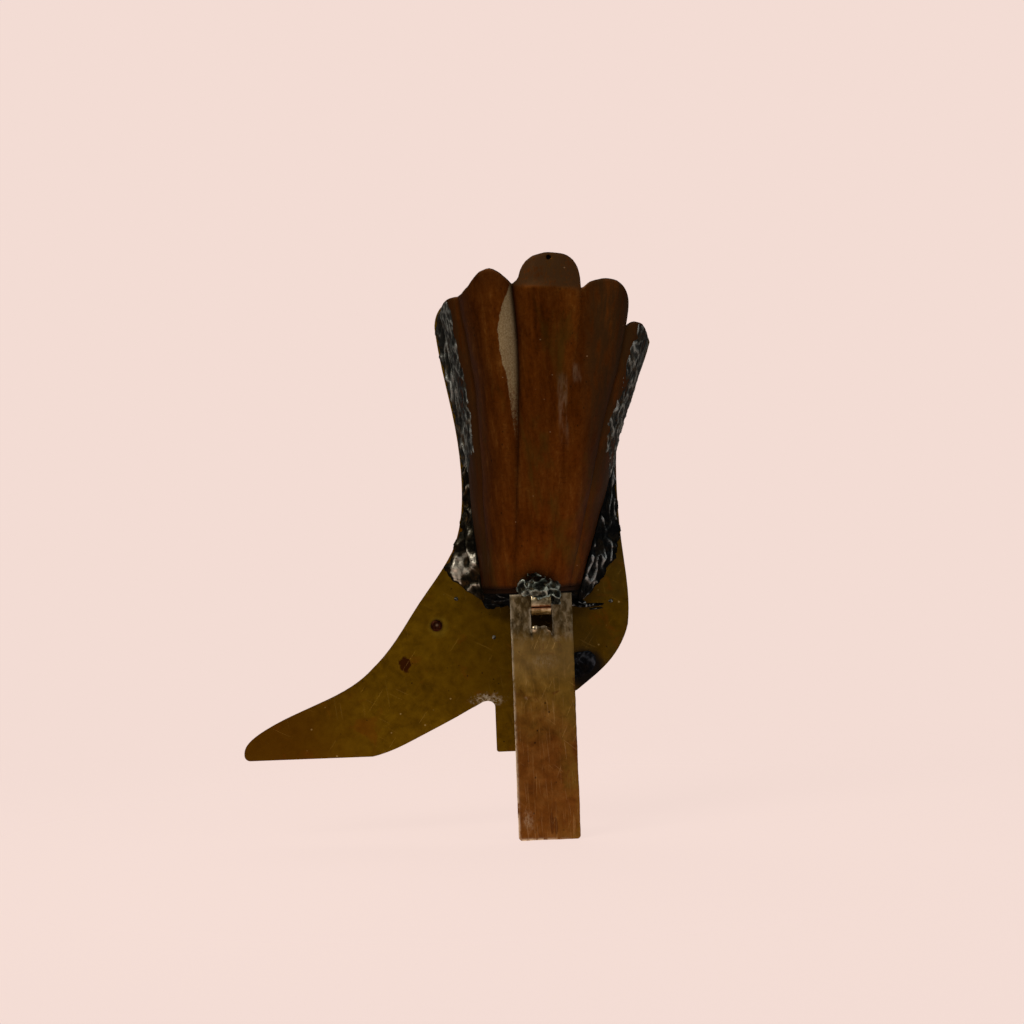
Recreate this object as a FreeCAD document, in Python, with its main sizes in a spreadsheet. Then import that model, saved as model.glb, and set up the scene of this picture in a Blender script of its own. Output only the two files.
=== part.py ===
import FreeCAD, Part
import math
import os
import sys

import Sketcher

# A boot-shaped desk holder in sheet brass and copper, upright, in millimetres.
# +Z is up, the decorated front faces +Y, and the pocket and strut are on the back, towards -Y.
# The toe points to -X. The origin is the middle of the heel's bottom face.

V = FreeCAD.Vector
os.makedirs("parts", exist_ok=True)
doc = FreeCAD.newDocument("boot_holder")

# ---------------------------------------------------------------- driving dimensions
SIZES = {
    # plate
    "plate_thick": 1.2,
    "toe_reach": 56.6,
    "sole_start": 30.5,
    "heel_wide": 10.6,
    "heel_high": 9.2,
    "heel_corner": 0.5,
    # pocket: the sections are half ellipses on the plate's back face
    "copper_thick": 0.8,
    "pocket_floor_low": 32.4,
    "pocket_low": 33.2,
    "pocket_high": 102.0,
    "rim_hole_radius": 0.45,
    "rim_hole_across": 8.7,
    "rim_hole_up": 97.6,
    # strut and hinge
    "hinge_back": 11.7,
    "hinge_up": 30.6,
    "strut_across": 4.65,
    "strut_wide": 12.4,
    "strut_thick": 1.0,
    "strut_leg": 47.2,
    "strut_foot_corner": 0.8,
    "bar_high": 3.2,
    "slot_wide": 4.2,
    "slot_high": 3.7,
    "loop_inner": 1.8,
    "loop_outer": 2.6,
    "loop_wide": 3.9,
    "loop_seam_angle": 202.0,
    "loop_seam_gap": 0.25,
    "hinge_clearance": 0.32,
    # pin through the ankle
    "pin_across": -16.6,
    "pin_up": 26.1,
    "pin_radius": 0.8,
    "pin_head_radius": 1.2,
    "pin_head_high": 0.25,
    # solder
    "bead_high_upper": 0.9,
    "bead_high_lower": 1.5,
    "skin_thick": 0.35,
    "skin_low": 62.0,
    "skin_last_direction": 36.0,
    "seam_start": -6.6,
    "seam_long": 19.0,
    "seam_deep": 1.8,
    "patch_high": 0.25,
    "drop_radius": 0.45,
    "run_across": 12.6,
    "run_up": 29.0,
    "run_long": 4.6,
}

sheet = doc.addObject("Spreadsheet::Sheet", "Sheet")
for row, (alias, number) in enumerate(SIZES.items(), start=1):
    sheet.set(f"A{row}", alias)
    sheet.set(f"B{row}", str(number))
    sheet.setAlias(f"B{row}", alias)
doc.recompute()


def size(alias):
    """A driving dimension, read back from the spreadsheet."""
    return float(sheet.get(alias))


BACK = -size("plate_thick") / 2
HINGE_Y = -size("hinge_back")

# The pocket widens from a small half-moon at the ankle to the open rim.
# Each section: height, toe-side edge, heel-side edge, depth off the plate, extra bulge of a flute.
POCKET_SECTIONS = [
    (size("pocket_floor_low"), -7.0, 12.8, 9.0, 0.05),
    (48.0, -8.3, 17.6, 12.2, 0.35),
    (64.0, -9.0, 22.0, 15.0, 0.65),
    (80.0, -10.9, 27.4, 17.6, 1.1),
    (size("pocket_high"), -16.0, 33.2, 20.6, 1.5),
]
# Directions of the creases between the flutes, in degrees from the heel side.
CREASES = [0.0, 40.0, 73.5, 110.0, 148.0, 180.0]
CROWN_CENTRE = V(8.6, BACK, 0)
CROWN_RADIUS = 22.0
# Rim lobes, heel side to toe side: height at the first crease, at the tip, at the second crease,
# and where the tip lies between the creases (0 to 1).
LOBES = [
    (81.4, 86.1, 84.6, 0.70),
    (84.6, 93.9, 91.9, 0.52),
    (91.9, 98.9, 93.1, 0.50),
    (93.1, 96.8, 92.2, 0.50),
    (92.2, 92.7, 87.8, 0.40),
]


# ---------------------------------------------------------------- helpers
def origin_plane(body, role):
    for feature in body.Origin.OriginFeatures:
        if feature.Role == role:
            return feature
    raise ValueError(role)


def new_body(label):
    body = doc.addObject("PartDesign::Body", label + "_body")
    body.Label = label
    return body


def new_sketch(body, name, role):
    sketch = body.newObject("Sketcher::SketchObject", name)
    sketch.AttachmentSupport = [(origin_plane(body, role), "")]
    sketch.MapMode = "FlatFace"
    return sketch


def add_loop(sketch, edges):
    """Adds edges that follow each other round a closed outline, and joins their ends."""
    ids = [sketch.addGeometry(edge, False) for edge in edges]
    for first, second in zip(ids, ids[1:] + ids[:1]):
        pairs = [(a, b) for a in (1, 2) for b in (1, 2)]
        near = min(
            pairs,
            key=lambda ends: sketch.getPoint(first, ends[0]).distanceToPoint(
                sketch.getPoint(second, ends[1])
            ),
        )
        sketch.addConstraint(Sketcher.Constraint("Coincident", first, near[0], second, near[1]))
    return ids


def line(start, end):
    return Part.LineSegment(V(*start, 0), V(*end, 0))


def smooth(points):
    """A smooth curve through points of an outline."""
    curve = Part.BSplineCurve()
    curve.interpolate([V(*point, 0) for point in points])
    return curve


def pin_down(sketch, vertex, across, up):
    """Holds one end of an edge at a distance from the sketch's origin, and returns both constraints."""
    geometry, end = vertex
    first = sketch.addConstraint(Sketcher.Constraint("DistanceX", -1, 1, geometry, end, across))
    second = sketch.addConstraint(Sketcher.Constraint("DistanceY", -1, 1, geometry, end, up))
    return first, second


def symmetric_pad(body, sketch, name, thickness):
    pad = body.newObject("PartDesign::Pad", name)
    pad.Profile = sketch
    pad.SideType = "Symmetric"
    pad.setExpression("Length", thickness)
    return pad


# ---------------------------------------------------------------- brass boot plate
def make_boot_plate():
    """The boot's silhouette, sawn from sheet: heel, arch, flat sole, toe, instep, shaft, scalloped top."""
    body = new_body("boot_plate")
    sketch = new_sketch(body, "boot_outline", "XZ_Plane")
    half_heel = size("heel_wide") / 2
    corner = size("heel_corner")
    heel_high = size("heel_high")
    toe = -size("toe_reach")
    sole = -size("sole_start")
    edges = [
        line((half_heel, 0), (corner - half_heel, 0)),
        Part.Arc(
            V(corner - half_heel, 0, 0),
            V(-half_heel + 0.3 * corner, 0.3 * corner, 0),
            V(-half_heel, corner, 0),
        ),
        line((-half_heel, corner), (-half_heel, heel_high)),
        smooth([(-half_heel, heel_high), (-5.8, 10.1), (-7.0, 10.4), (-8.5, 9.85), (-10.0, 9.1)]),
        smooth([(-10.0, 9.1), (-15.0, 6.5), (-20.0, 4.1), (-25.0, 1.75), (sole, 0)]),
        line((sole, 0), (toe + 1.2, 0)),
        Part.Arc(V(toe + 1.2, 0, 0), V(toe + 0.35, 0.35, 0), V(toe, 1.2, 0)),
        smooth([(toe, 1.2), (-56.3, 2.7), (-55.2, 4.1), (-53.6, 5.3)]),
        smooth([(-53.6, 5.3), (-47.7, 8.4), (-40.0, 11.6), (-35.0, 14.0), (-30.0, 17.8)]),
        smooth([(-30.0, 17.8), (-25.0, 23.4), (-20.0, 30.7), (-15.4, 36.9), (-12.9, 40.9)]),
        smooth(
            [(-12.9, 40.9), (-11.1, 46.4), (-10.4, 55.5), (-11.2, 65.5), (-13.3, 77), (-14.6, 85.6)]
        ),
        smooth([(-14.6, 85.6), (-14.5, 88.2), (-12.9, 91.0), (-9.8, 91.6)]),
        smooth([(-9.8, 91.6), (-7.6, 94.8), (-3.4, 96.4), (0.2, 95.2), (1.9, 92.6)]),
        smooth([(1.9, 92.6), (4.0, 96.9), (8.7, 98.4), (13.4, 96.6), (15.8, 91.4)]),
        smooth([(15.8, 91.4), (19.0, 93.2), (22.2, 92.4), (23.8, 89.0), (24.3, 84.3)]),
        smooth([(24.3, 84.3), (26.2, 85.2), (28.0, 84.0), (28.9, 82.0)]),
        smooth([(28.9, 82.0), (26.9, 76.4), (24.2, 70.4), (22.3, 66.0), (21.3, 60.5)]),
        smooth([(21.3, 60.5), (21.1, 52.3), (21.7, 41.0), (22.6, 30.5), (22.3, 25.0)]),
        smooth([(22.3, 25.0), (20.9, 21.4), (18.4, 17.8), (14.0, 13.9), (11.5, 12.0)]),
        smooth([(11.5, 12.0), (7.9, 9.2), (6.1, 5.6), (half_heel, 0)]),
    ]
    ids = add_loop(sketch, edges)
    right = pin_down(sketch, (ids[0], 1), half_heel, 0.0)[0]
    sketch.renameConstraint(right, "half_heel")
    sketch.setExpression("Constraints.half_heel", "Sheet.heel_wide / 2")
    top = pin_down(sketch, (ids[2], 2), -half_heel, heel_high)[1]
    sketch.renameConstraint(top, "heel_top")
    sketch.setExpression("Constraints.heel_top", "Sheet.heel_high")
    symmetric_pad(body, sketch, "plate_pad", "Sheet.plate_thick")

    hole_sketch = new_sketch(body, "pin_hole_outline", "XZ_Plane")
    hole = hole_sketch.addGeometry(
        Part.Circle(V(size("pin_across"), size("pin_up"), 0), V(0, 0, 1), size("pin_radius")), False
    )
    across, up = pin_down(hole_sketch, (hole, 3), size("pin_across"), size("pin_up"))
    radius = hole_sketch.addConstraint(Sketcher.Constraint("Radius", hole, size("pin_radius")))
    for constraint, name, cell in (
        (across, "across", "pin_across"),
        (up, "up", "pin_up"),
        (radius, "radius", "pin_radius"),
    ):
        hole_sketch.renameConstraint(constraint, name)
        hole_sketch.setExpression("Constraints." + name, "Sheet." + cell)
    pocket = body.newObject("PartDesign::Pocket", "pin_hole")
    pocket.Profile = hole_sketch
    pocket.SideType = "Symmetric"
    pocket.setExpression("Length", "Sheet.plate_thick * 2")
    return body


# ---------------------------------------------------------------- copper pocket
def ellipse_point(section, direction, inset, bulge_share):
    """A point of the pocket's wall in one section, in a direction seen from the middle of the section."""
    height, toe_edge, heel_edge, depth, bulge = section
    middle = (toe_edge + heel_edge) / 2
    half = (heel_edge - toe_edge) / 2 - inset + bulge * bulge_share
    deep = depth - inset + bulge * bulge_share
    angle = math.radians(direction)
    return V(middle + half * math.cos(angle), BACK - deep * math.sin(angle), height)


def section_wire(section, inset, past_back):
    """Five flutes as arcs between creases, closed along the plate or a little past its back face."""
    edges = []
    for start, end in zip(CREASES, CREASES[1:]):
        first = ellipse_point(section, start, inset, 0)
        middle = ellipse_point(section, (start + end) / 2, inset, 1)
        last = ellipse_point(section, end, inset, 0)
        edges.append(Part.Arc(first, middle, last).toShape())
    toe = ellipse_point(section, 180, inset, 0)
    heel = ellipse_point(section, 0, inset, 0)
    corners = [toe]
    if past_back:
        corners.append(toe + V(0, past_back, 0))
        corners.append(heel + V(0, past_back, 0))
    corners.append(heel)
    edges += [Part.makeLine(a, b) for a, b in zip(corners, corners[1:])]
    return Part.Wire(edges)


def pocket_loft(inset, past_back=0.0):
    return Part.makeLoft([section_wire(s, inset, past_back) for s in POCKET_SECTIONS], True, False)


def lobe_solid(index, low):
    """Everything under one rim lobe, as a wedge seen from the middle of the rim."""
    first_height, tip_height, last_height, tip_place = LOBES[index]
    start, end = CREASES[index], CREASES[index + 1]
    middle = math.radians((start + end) / 2)
    half_span = math.radians(end - start) / 2
    out = V(math.cos(middle), -math.sin(middle), 0)
    along = V(-math.sin(middle), -math.cos(middle), 0)
    reach = CROWN_RADIUS * math.sin(half_span)
    tip_along = reach * (2 * tip_place - 1)
    first_rise = tip_height - first_height
    last_rise = tip_height - last_height

    def place(across, height):
        return CROWN_CENTRE + along * across + V(0, 0, height)

    shoulder = 0.72
    arch = Part.BSplineCurve()
    arch.interpolate(
        [
            place(-reach, first_height),
            place(tip_along - shoulder * (tip_along + reach), first_height + shoulder * first_rise),
            place(tip_along, tip_height),
            place(tip_along + shoulder * (reach - tip_along), last_height + shoulder * last_rise),
            place(reach, last_height),
        ]
    )
    spare = 8.0
    corners = [
        place(reach, last_height),
        place(reach + spare, last_height),
        place(reach + spare, low),
        place(-reach - spare, low),
        place(-reach - spare, first_height),
        place(-reach, first_height),
    ]
    edges = [arch.toShape()] + [Part.makeLine(a, b) for a, b in zip(corners, corners[1:])]
    slab = Part.Face(Part.Wire(edges)).extrude(out * 2 * CROWN_RADIUS)
    past = 4.0
    wedge_start = math.radians(start - (past if index == 0 else 0))
    wedge_end = math.radians(end + (past if index == len(LOBES) - 1 else 0))
    tips = [
        CROWN_CENTRE + V(math.cos(a), -math.sin(a), 0) * 3 * CROWN_RADIUS
        for a in (wedge_start, wedge_end)
    ]
    outline = [CROWN_CENTRE, tips[0], tips[1], CROWN_CENTRE]
    wedge = Part.Face(Part.makePolygon([p + V(0, 0, low) for p in outline]))
    return slab.common(wedge.extrude(V(0, 0, size("pocket_high") - low)))


def static_shape(name, shape):
    feature = doc.addObject("Part::Feature", name)
    feature.Shape = shape
    feature.Placement = FreeCAD.Placement()
    return feature


def boolean(kind, name, base, tool, label=None):
    result = doc.addObject("Part::" + kind, name)
    result.Base = base
    result.Tool = tool
    if label:
        result.Label = label
    return result


def make_pocket():
    """The fluted copper cone with its lobed rim, and the half-moon that closes its narrow end."""
    envelope = static_shape("pocket_envelope", pocket_loft(0.0))
    hollow = static_shape("pocket_hollow", pocket_loft(size("copper_thick"), past_back=1.0))
    wall = boolean("Cut", "pocket_wall", envelope, hollow)
    crown = lobe_solid(0, size("pocket_low"))
    for index in range(1, len(LOBES)):
        crown = crown.fuse(lobe_solid(index, size("pocket_low")))
    rim = static_shape("pocket_rim", crown)
    lobed = boolean("Common", "pocket_lobed", wall, rim)
    drill = doc.addObject("Part::Cylinder", "rim_drill")
    drill.setExpression("Radius", "Sheet.rim_hole_radius")
    drill.Height = 30
    drill.Placement = FreeCAD.Placement(
        V(size("rim_hole_across"), BACK - 5, size("rim_hole_up")), FreeCAD.Rotation(V(1, 0, 0), 90)
    )
    drill.setExpression("Placement.Base.x", "Sheet.rim_hole_across")
    drill.setExpression("Placement.Base.z", "Sheet.rim_hole_up")
    shell = boolean("Cut", "pocket_shell_cut", lobed, drill, "pocket_shell")

    slab = doc.addObject("Part::Box", "floor_slab")
    slab.Length = 60
    slab.Width = 40
    slab.setExpression("Height", "Sheet.pocket_low - Sheet.pocket_floor_low")
    slab.Placement = FreeCAD.Placement(V(-30, BACK - 40, 0), FreeCAD.Rotation())
    slab.setExpression("Placement.Base.z", "Sheet.pocket_floor_low")
    floor = boolean("Common", "pocket_floor_common", envelope, slab, "pocket_floor")
    return envelope, shell, floor


# ---------------------------------------------------------------- strut and hinge
def make_strut():
    """A flat strip with a slot near its top. The bar left above the slot turns in the loop."""
    body = new_body("strut")
    sketch = new_sketch(body, "strut_outline", "XZ_Plane")
    half = size("strut_wide") / 2
    top = size("bar_high") / 2
    foot = -size("strut_leg")
    corner = size("strut_foot_corner")
    bend = corner * (1 - math.sqrt(0.5))
    edges = [
        line((-half, top), (half, top)),
        line((half, top), (half, foot + corner)),
        Part.Arc(V(half, foot + corner, 0), V(half - bend, foot + bend, 0), V(half - corner, foot, 0)),
        line((half - corner, foot), (corner - half, foot)),
        Part.Arc(V(corner - half, foot, 0), V(bend - half, foot + bend, 0), V(-half, foot + corner, 0)),
        line((-half, foot + corner), (-half, top)),
    ]
    ids = add_loop(sketch, edges)
    left, high = pin_down(sketch, (ids[0], 1), -half, top)
    right, low = pin_down(sketch, (ids[3], 1), half - corner, foot)
    for constraint, name, formula in (
        (left, "left", "-Sheet.strut_wide / 2"),
        (high, "high", "Sheet.bar_high / 2"),
        (right, "right", "Sheet.strut_wide / 2 - Sheet.strut_foot_corner"),
        (low, "low", "-Sheet.strut_leg"),
    ):
        sketch.renameConstraint(constraint, name)
        sketch.setExpression("Constraints." + name, formula)
    symmetric_pad(body, sketch, "strut_pad", "Sheet.strut_thick")

    slot_sketch = new_sketch(body, "slot_outline", "XZ_Plane")
    slot_half = size("slot_wide") / 2
    slot_top = -size("bar_high") / 2
    slot_low = slot_top - size("slot_high")
    slot_edges = [
        line((-slot_half, slot_top), (slot_half, slot_top)),
        line((slot_half, slot_top), (slot_half, slot_low)),
        line((slot_half, slot_low), (-slot_half, slot_low)),
        line((-slot_half, slot_low), (-slot_half, slot_top)),
    ]
    slot_ids = add_loop(slot_sketch, slot_edges)
    slot_left, slot_high = pin_down(slot_sketch, (slot_ids[0], 1), -slot_half, slot_top)
    slot_right, slot_foot = pin_down(slot_sketch, (slot_ids[1], 2), slot_half, slot_low)
    for constraint, name, formula in (
        (slot_left, "left", "-Sheet.slot_wide / 2"),
        (slot_high, "high", "-Sheet.bar_high / 2"),
        (slot_right, "right", "Sheet.slot_wide / 2"),
        (slot_foot, "low", "-Sheet.bar_high / 2 - Sheet.slot_high"),
    ):
        slot_sketch.renameConstraint(constraint, name)
        slot_sketch.setExpression("Constraints." + name, formula)
    for index in (0, 2):
        slot_sketch.addConstraint(Sketcher.Constraint("Horizontal", slot_ids[index]))
    for index in (1, 3):
        slot_sketch.addConstraint(Sketcher.Constraint("Vertical", slot_ids[index]))
    slot = body.newObject("PartDesign::Pocket", "slot")
    slot.Profile = slot_sketch
    slot.SideType = "Symmetric"
    slot.setExpression("Length", "Sheet.strut_thick * 2")
    body.Placement = FreeCAD.Placement(
        V(size("strut_across"), HINGE_Y, size("hinge_up")), FreeCAD.Rotation()
    )
    body.setExpression("Placement.Base.x", "Sheet.strut_across")
    body.setExpression("Placement.Base.z", "Sheet.hinge_up")
    body.setExpression("Placement.Base.y", "-Sheet.hinge_back")
    return body


def make_hinge_loop():
    """A strip rolled round the strut's bar, with an open seam towards the back."""
    body = new_body("hinge_loop")
    sketch = new_sketch(body, "loop_section", "YZ_Plane")
    inner = size("loop_inner")
    outer = size("loop_outer")
    seam = math.radians(size("loop_seam_angle"))
    half_gap = size("loop_seam_gap") / 2 / outer

    def at(radius, angle):
        return V(radius * math.cos(angle), radius * math.sin(angle), 0)

    start, end, far = seam + half_gap, seam - half_gap, seam + math.pi
    edges = [
        Part.Arc(at(outer, start), at(outer, far), at(outer, end)),
        Part.LineSegment(at(outer, end), at(inner, end)),
        Part.Arc(at(inner, end), at(inner, far), at(inner, start)),
        Part.LineSegment(at(inner, start), at(outer, start)),
    ]
    for edge in edges:
        sketch.addGeometry(edge, False)
    for arc, cell, name in ((0, "loop_outer", "outer"), (2, "loop_inner", "inner")):
        pin_down(sketch, (arc, 3), 0.0, 0.0)
        radius = sketch.addConstraint(Sketcher.Constraint("Radius", arc, size(cell)))
        sketch.renameConstraint(radius, name)
        sketch.setExpression("Constraints." + name, "Sheet." + cell)
    symmetric_pad(body, sketch, "loop_pad", "Sheet.loop_wide")
    body.Placement = FreeCAD.Placement(
        V(size("strut_across"), HINGE_Y, size("hinge_up")), FreeCAD.Rotation()
    )
    body.setExpression("Placement.Base.x", "Sheet.strut_across")
    body.setExpression("Placement.Base.y", "-Sheet.hinge_back")
    body.setExpression("Placement.Base.z", "Sheet.hinge_up")
    return body


def make_ankle_pin():
    """A short pin through the ankle, its ends peened out into low bevelled heads on both faces."""
    shank = doc.addObject("Part::Cylinder", "pin_shank")
    shank.setExpression("Radius", "Sheet.pin_radius")
    shank.setExpression("Height", "Sheet.plate_thick")
    shank.Placement = FreeCAD.Placement(V(0, -BACK, 0), FreeCAD.Rotation(V(1, 0, 0), 90))
    joined = shank
    for name, side in (("pin_back_head", -1), ("pin_front_head", 1)):
        head = doc.addObject("Part::Cone", name)
        head.setExpression("Radius1", "Sheet.pin_head_radius")
        head.setExpression("Radius2", "Sheet.pin_radius")
        head.setExpression("Height", "Sheet.pin_head_high")
        head.Placement = FreeCAD.Placement(
            V(0, -side * BACK, 0), FreeCAD.Rotation(V(1, 0, 0), -90 * side)
        )
        head.setExpression("Placement.Base.x", "Sheet.pin_across")
        head.setExpression("Placement.Base.y", f"{side} * Sheet.plate_thick / 2")
        head.setExpression("Placement.Base.z", "Sheet.pin_up")
        joined = boolean("Fuse", name + "_joined", joined, head)
    shank.setExpression("Placement.Base.x", "Sheet.pin_across")
    shank.setExpression("Placement.Base.y", "Sheet.plate_thick / 2")
    shank.setExpression("Placement.Base.z", "Sheet.pin_up")
    joined.Label = "ankle_pin"
    return joined


# ---------------------------------------------------------------- solder
def bead(label, height_cell, outline, envelope):
    """A bead of solder on the plate's back face, up against the copper."""
    body = new_body(label + "_pad")
    sketch = new_sketch(body, label + "_outline", "XZ_Plane")
    add_loop(sketch, outline)
    pad = body.newObject("PartDesign::Pad", label + "_rise")
    pad.Profile = sketch
    pad.setExpression("Length", "Sheet." + height_cell)
    body.Placement = FreeCAD.Placement(V(0, BACK, 0), FreeCAD.Rotation())
    body.setExpression("Placement.Base.y", "-Sheet.plate_thick / 2")
    doc.recompute()
    if body.Shape.BoundBox.YMax > BACK + 0.01:
        pad.Reversed = True
        doc.recompute()
    if envelope is None:
        body.Label = label
        return body
    return boolean("Cut", label + "_cut", body, envelope, label)


def make_beads(envelope):
    toe_upper = bead(
        "solder_toe_side_upper",
        "bead_high_upper",
        [
            smooth([(-14.1, 87.6), (-14.2, 84.5), (-12.9, 77.0), (-11.3, 68.0), (-10.2, 58.4)]),
            line((-10.2, 58.4), (-4.0, 58.4)),
            line((-4.0, 58.4), (-4.0, 87.6)),
            line((-4.0, 87.6), (-14.1, 87.6)),
        ],
        envelope,
    )
    toe_lower = bead(
        "solder_toe_side_lower",
        "bead_high_lower",
        [
            smooth([(-9.8, 58.2), (-10.1, 50.0), (-11.6, 43.8), (-13.5, 38.0), (-12.7, 35.4)]),
            smooth([(-12.7, 35.4), (-11.2, 33.9), (-9.6, 32.6)]),
            line((-9.6, 32.6), (-4.0, 32.6)),
            line((-4.0, 32.6), (-4.0, 58.2)),
            line((-4.0, 58.2), (-9.8, 58.2)),
        ],
        envelope,
    )
    heel_lower = bead(
        "solder_heel_side_lower",
        "bead_high_lower",
        [
            smooth([(20.8, 59.5), (20.7, 52.0), (20.7, 45.0), (19.0, 38.3), (16.5, 33.4)]),
            smooth([(16.5, 33.4), (15.9, 32.9), (15.2, 32.6)]),
            line((15.2, 32.6), (9.0, 32.6)),
            line((9.0, 32.6), (9.0, 59.5)),
            line((9.0, 59.5), (20.8, 59.5)),
        ],
        envelope,
    )
    patch = bead(
        "heel_solder_patch",
        "patch_high",
        [
            smooth([(12.1, 15.2), (11.7, 17.4), (12.9, 19.4), (15.2, 19.3), (16.9, 17.8)]),
            smooth([(16.9, 17.8), (15.6, 16.2), (13.8, 14.6), (12.1, 15.2)]),
        ],
        None,
    )
    return [toe_upper, toe_lower, heel_lower, patch]


def make_heel_skin(envelope):
    """The solder that was run over the outside of the flute nearest the heel's side."""
    fat = pocket_loft(-size("skin_thick"))
    skin = fat.cut(envelope.Shape).common(lobe_solid(0, size("skin_low")))
    reach = 3 * CROWN_RADIUS
    last = math.radians(size("skin_last_direction"))
    near = CROWN_CENTRE + V(reach, 0, 0)
    far = CROWN_CENTRE + V(math.cos(last), -math.sin(last), 0) * reach
    wedge = Part.Face(Part.makePolygon([CROWN_CENTRE, near, far, CROWN_CENTRE]))
    skin = skin.common(wedge.extrude(V(0, 0, size("pocket_high"))))
    feature = static_shape("heel_skin", max(skin.Solids, key=lambda solid: solid.Volume))
    feature.Label = "solder_heel_side_upper"
    return feature


def make_floor_seam():
    """Solder along the corner between the pocket's floor and the plate."""
    low = size("pocket_floor_low")
    deep = size("seam_deep")
    body = new_body("solder_floor_seam")
    sketch = new_sketch(body, "seam_section", "YZ_Plane")
    edges = [
        line((0, 0), (-deep, 0)),
        Part.Arc(V(-deep, 0, 0), V(-0.42 * deep, -0.55 * deep, 0), V(0, -1.5 * deep, 0)),
        line((0, -1.5 * deep), (0, 0)),
    ]
    add_loop(sketch, edges)
    pad = body.newObject("PartDesign::Pad", "seam_run")
    pad.Profile = sketch
    pad.setExpression("Length", "Sheet.seam_long")
    body.Placement = FreeCAD.Placement(V(size("seam_start"), BACK, low), FreeCAD.Rotation())
    body.setExpression("Placement.Base.x", "Sheet.seam_start")
    body.setExpression("Placement.Base.y", "-Sheet.plate_thick / 2")
    body.setExpression("Placement.Base.z", "Sheet.pocket_floor_low")
    return body


def make_hinge_solder(envelope):
    """The lump that holds the loop: on the copper above, over the loop, and a drop beside the loop."""
    across = size("strut_across")
    hinge_up = size("hinge_up")

    def lump(middle, radii):
        ball = Part.makeSphere(1.0)
        stretch = FreeCAD.Matrix(radii[0], 0, 0, 0, 0, radii[1], 0, 0, 0, 0, radii[2], 0, 0, 0, 0, 1)
        shaped = ball.transformGeometry(stretch)
        shaped.translate(middle)
        return shaped

    body = lump(V(across - 0.2, HINGE_Y + 0.9, hinge_up + 2.6), (4.4, 3.0, 2.4))
    drop = lump(V(across + 2.95, HINGE_Y - 1.5, hinge_up + 0.75), (0.95, 1.35, 1.65))
    body = body.fuse(drop)
    turn_room = (size("bar_high") ** 2 + size("strut_thick") ** 2) ** 0.5 / 2 + size("hinge_clearance")
    sweep = Part.makeCylinder(turn_room, 40, V(across - 20, HINGE_Y, hinge_up), V(1, 0, 0))
    loop_space = Part.makeCylinder(
        size("loop_outer"),
        size("loop_wide"),
        V(across - size("loop_wide") / 2, HINGE_Y, hinge_up),
        V(1, 0, 0),
    )
    body = body.cut(sweep).cut(loop_space).cut(envelope.Shape)
    floor_depth = POCKET_SECTIONS[0][3]
    below_floor = Part.makeBox(60, 12, 4, V(-30, BACK - floor_depth, size("pocket_low") - 4.2))
    body = body.cut(below_floor)
    solids = sorted(body.Solids, key=lambda solid: solid.Volume)
    feature = static_shape("hinge_lump", solids[-1])
    feature.Label = "hinge_solder"
    return feature


def make_drops():
    """Stray drops on the plate, and a short run beside the pocket's floor: rounds cut flat by the plate."""
    radius = size("drop_radius")
    rounds = [
        Part.makeSphere(radius, V(across, BACK, up))
        for across, up in ((-12.4, 31.4), (-5.0, 23.3), (19.0, 29.8))
    ]
    run_start = V(size("run_across"), BACK, size("run_up"))
    rounds.append(Part.makeCylinder(0.8 * radius, size("run_long"), run_start, V(1, 0, 0)))
    outside = Part.makeBox(80, 4, 80, V(-40, BACK - 4, 0))
    feature = static_shape("drops", Part.makeCompound([shape.common(outside) for shape in rounds]))
    feature.Label = "solder_drops"
    return feature


# ---------------------------------------------------------------- build, check and write
boot_plate = make_boot_plate()
ankle_pin = make_ankle_pin()
pocket_envelope, pocket_shell, pocket_floor = make_pocket()
strut = make_strut()
hinge_loop = make_hinge_loop()
doc.recompute()
beads = make_beads(pocket_envelope)
heel_skin = make_heel_skin(pocket_envelope)
floor_seam = make_floor_seam()
hinge_solder = make_hinge_solder(pocket_envelope)
drops = make_drops()
doc.recompute()

pieces = [boot_plate, ankle_pin, pocket_shell, pocket_floor, strut, hinge_loop]
pieces += beads
pieces += [heel_skin, floor_seam, hinge_solder, drops]

problems = [
    item.Label for item in doc.Objects if "Invalid" in item.State or "Error" in item.State
]
for piece in pieces:
    if piece.Shape.isNull() or not piece.Shape.isValid() or not piece.Shape.Solids:
        problems.append(piece.Label + " shape")
if problems:
    sys.exit("not built: " + ", ".join(problems))

for piece in pieces:
    box = piece.Shape.BoundBox
    piece.Shape.exportStep(os.path.join("parts", piece.Label + ".step"))
    print(
        f"{piece.Label:26s} solids {len(piece.Shape.Solids)} volume {piece.Shape.Volume:9.2f}"
        f"  X {box.XMin:6.1f} {box.XMax:6.1f}  Y {box.YMin:6.1f} {box.YMax:6.1f}"
        f"  Z {box.ZMin:6.1f} {box.ZMax:6.1f}"
    )
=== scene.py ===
import math

import bmesh
import bpy
import numpy as np
from mathutils import Matrix, Vector, noise


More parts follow.
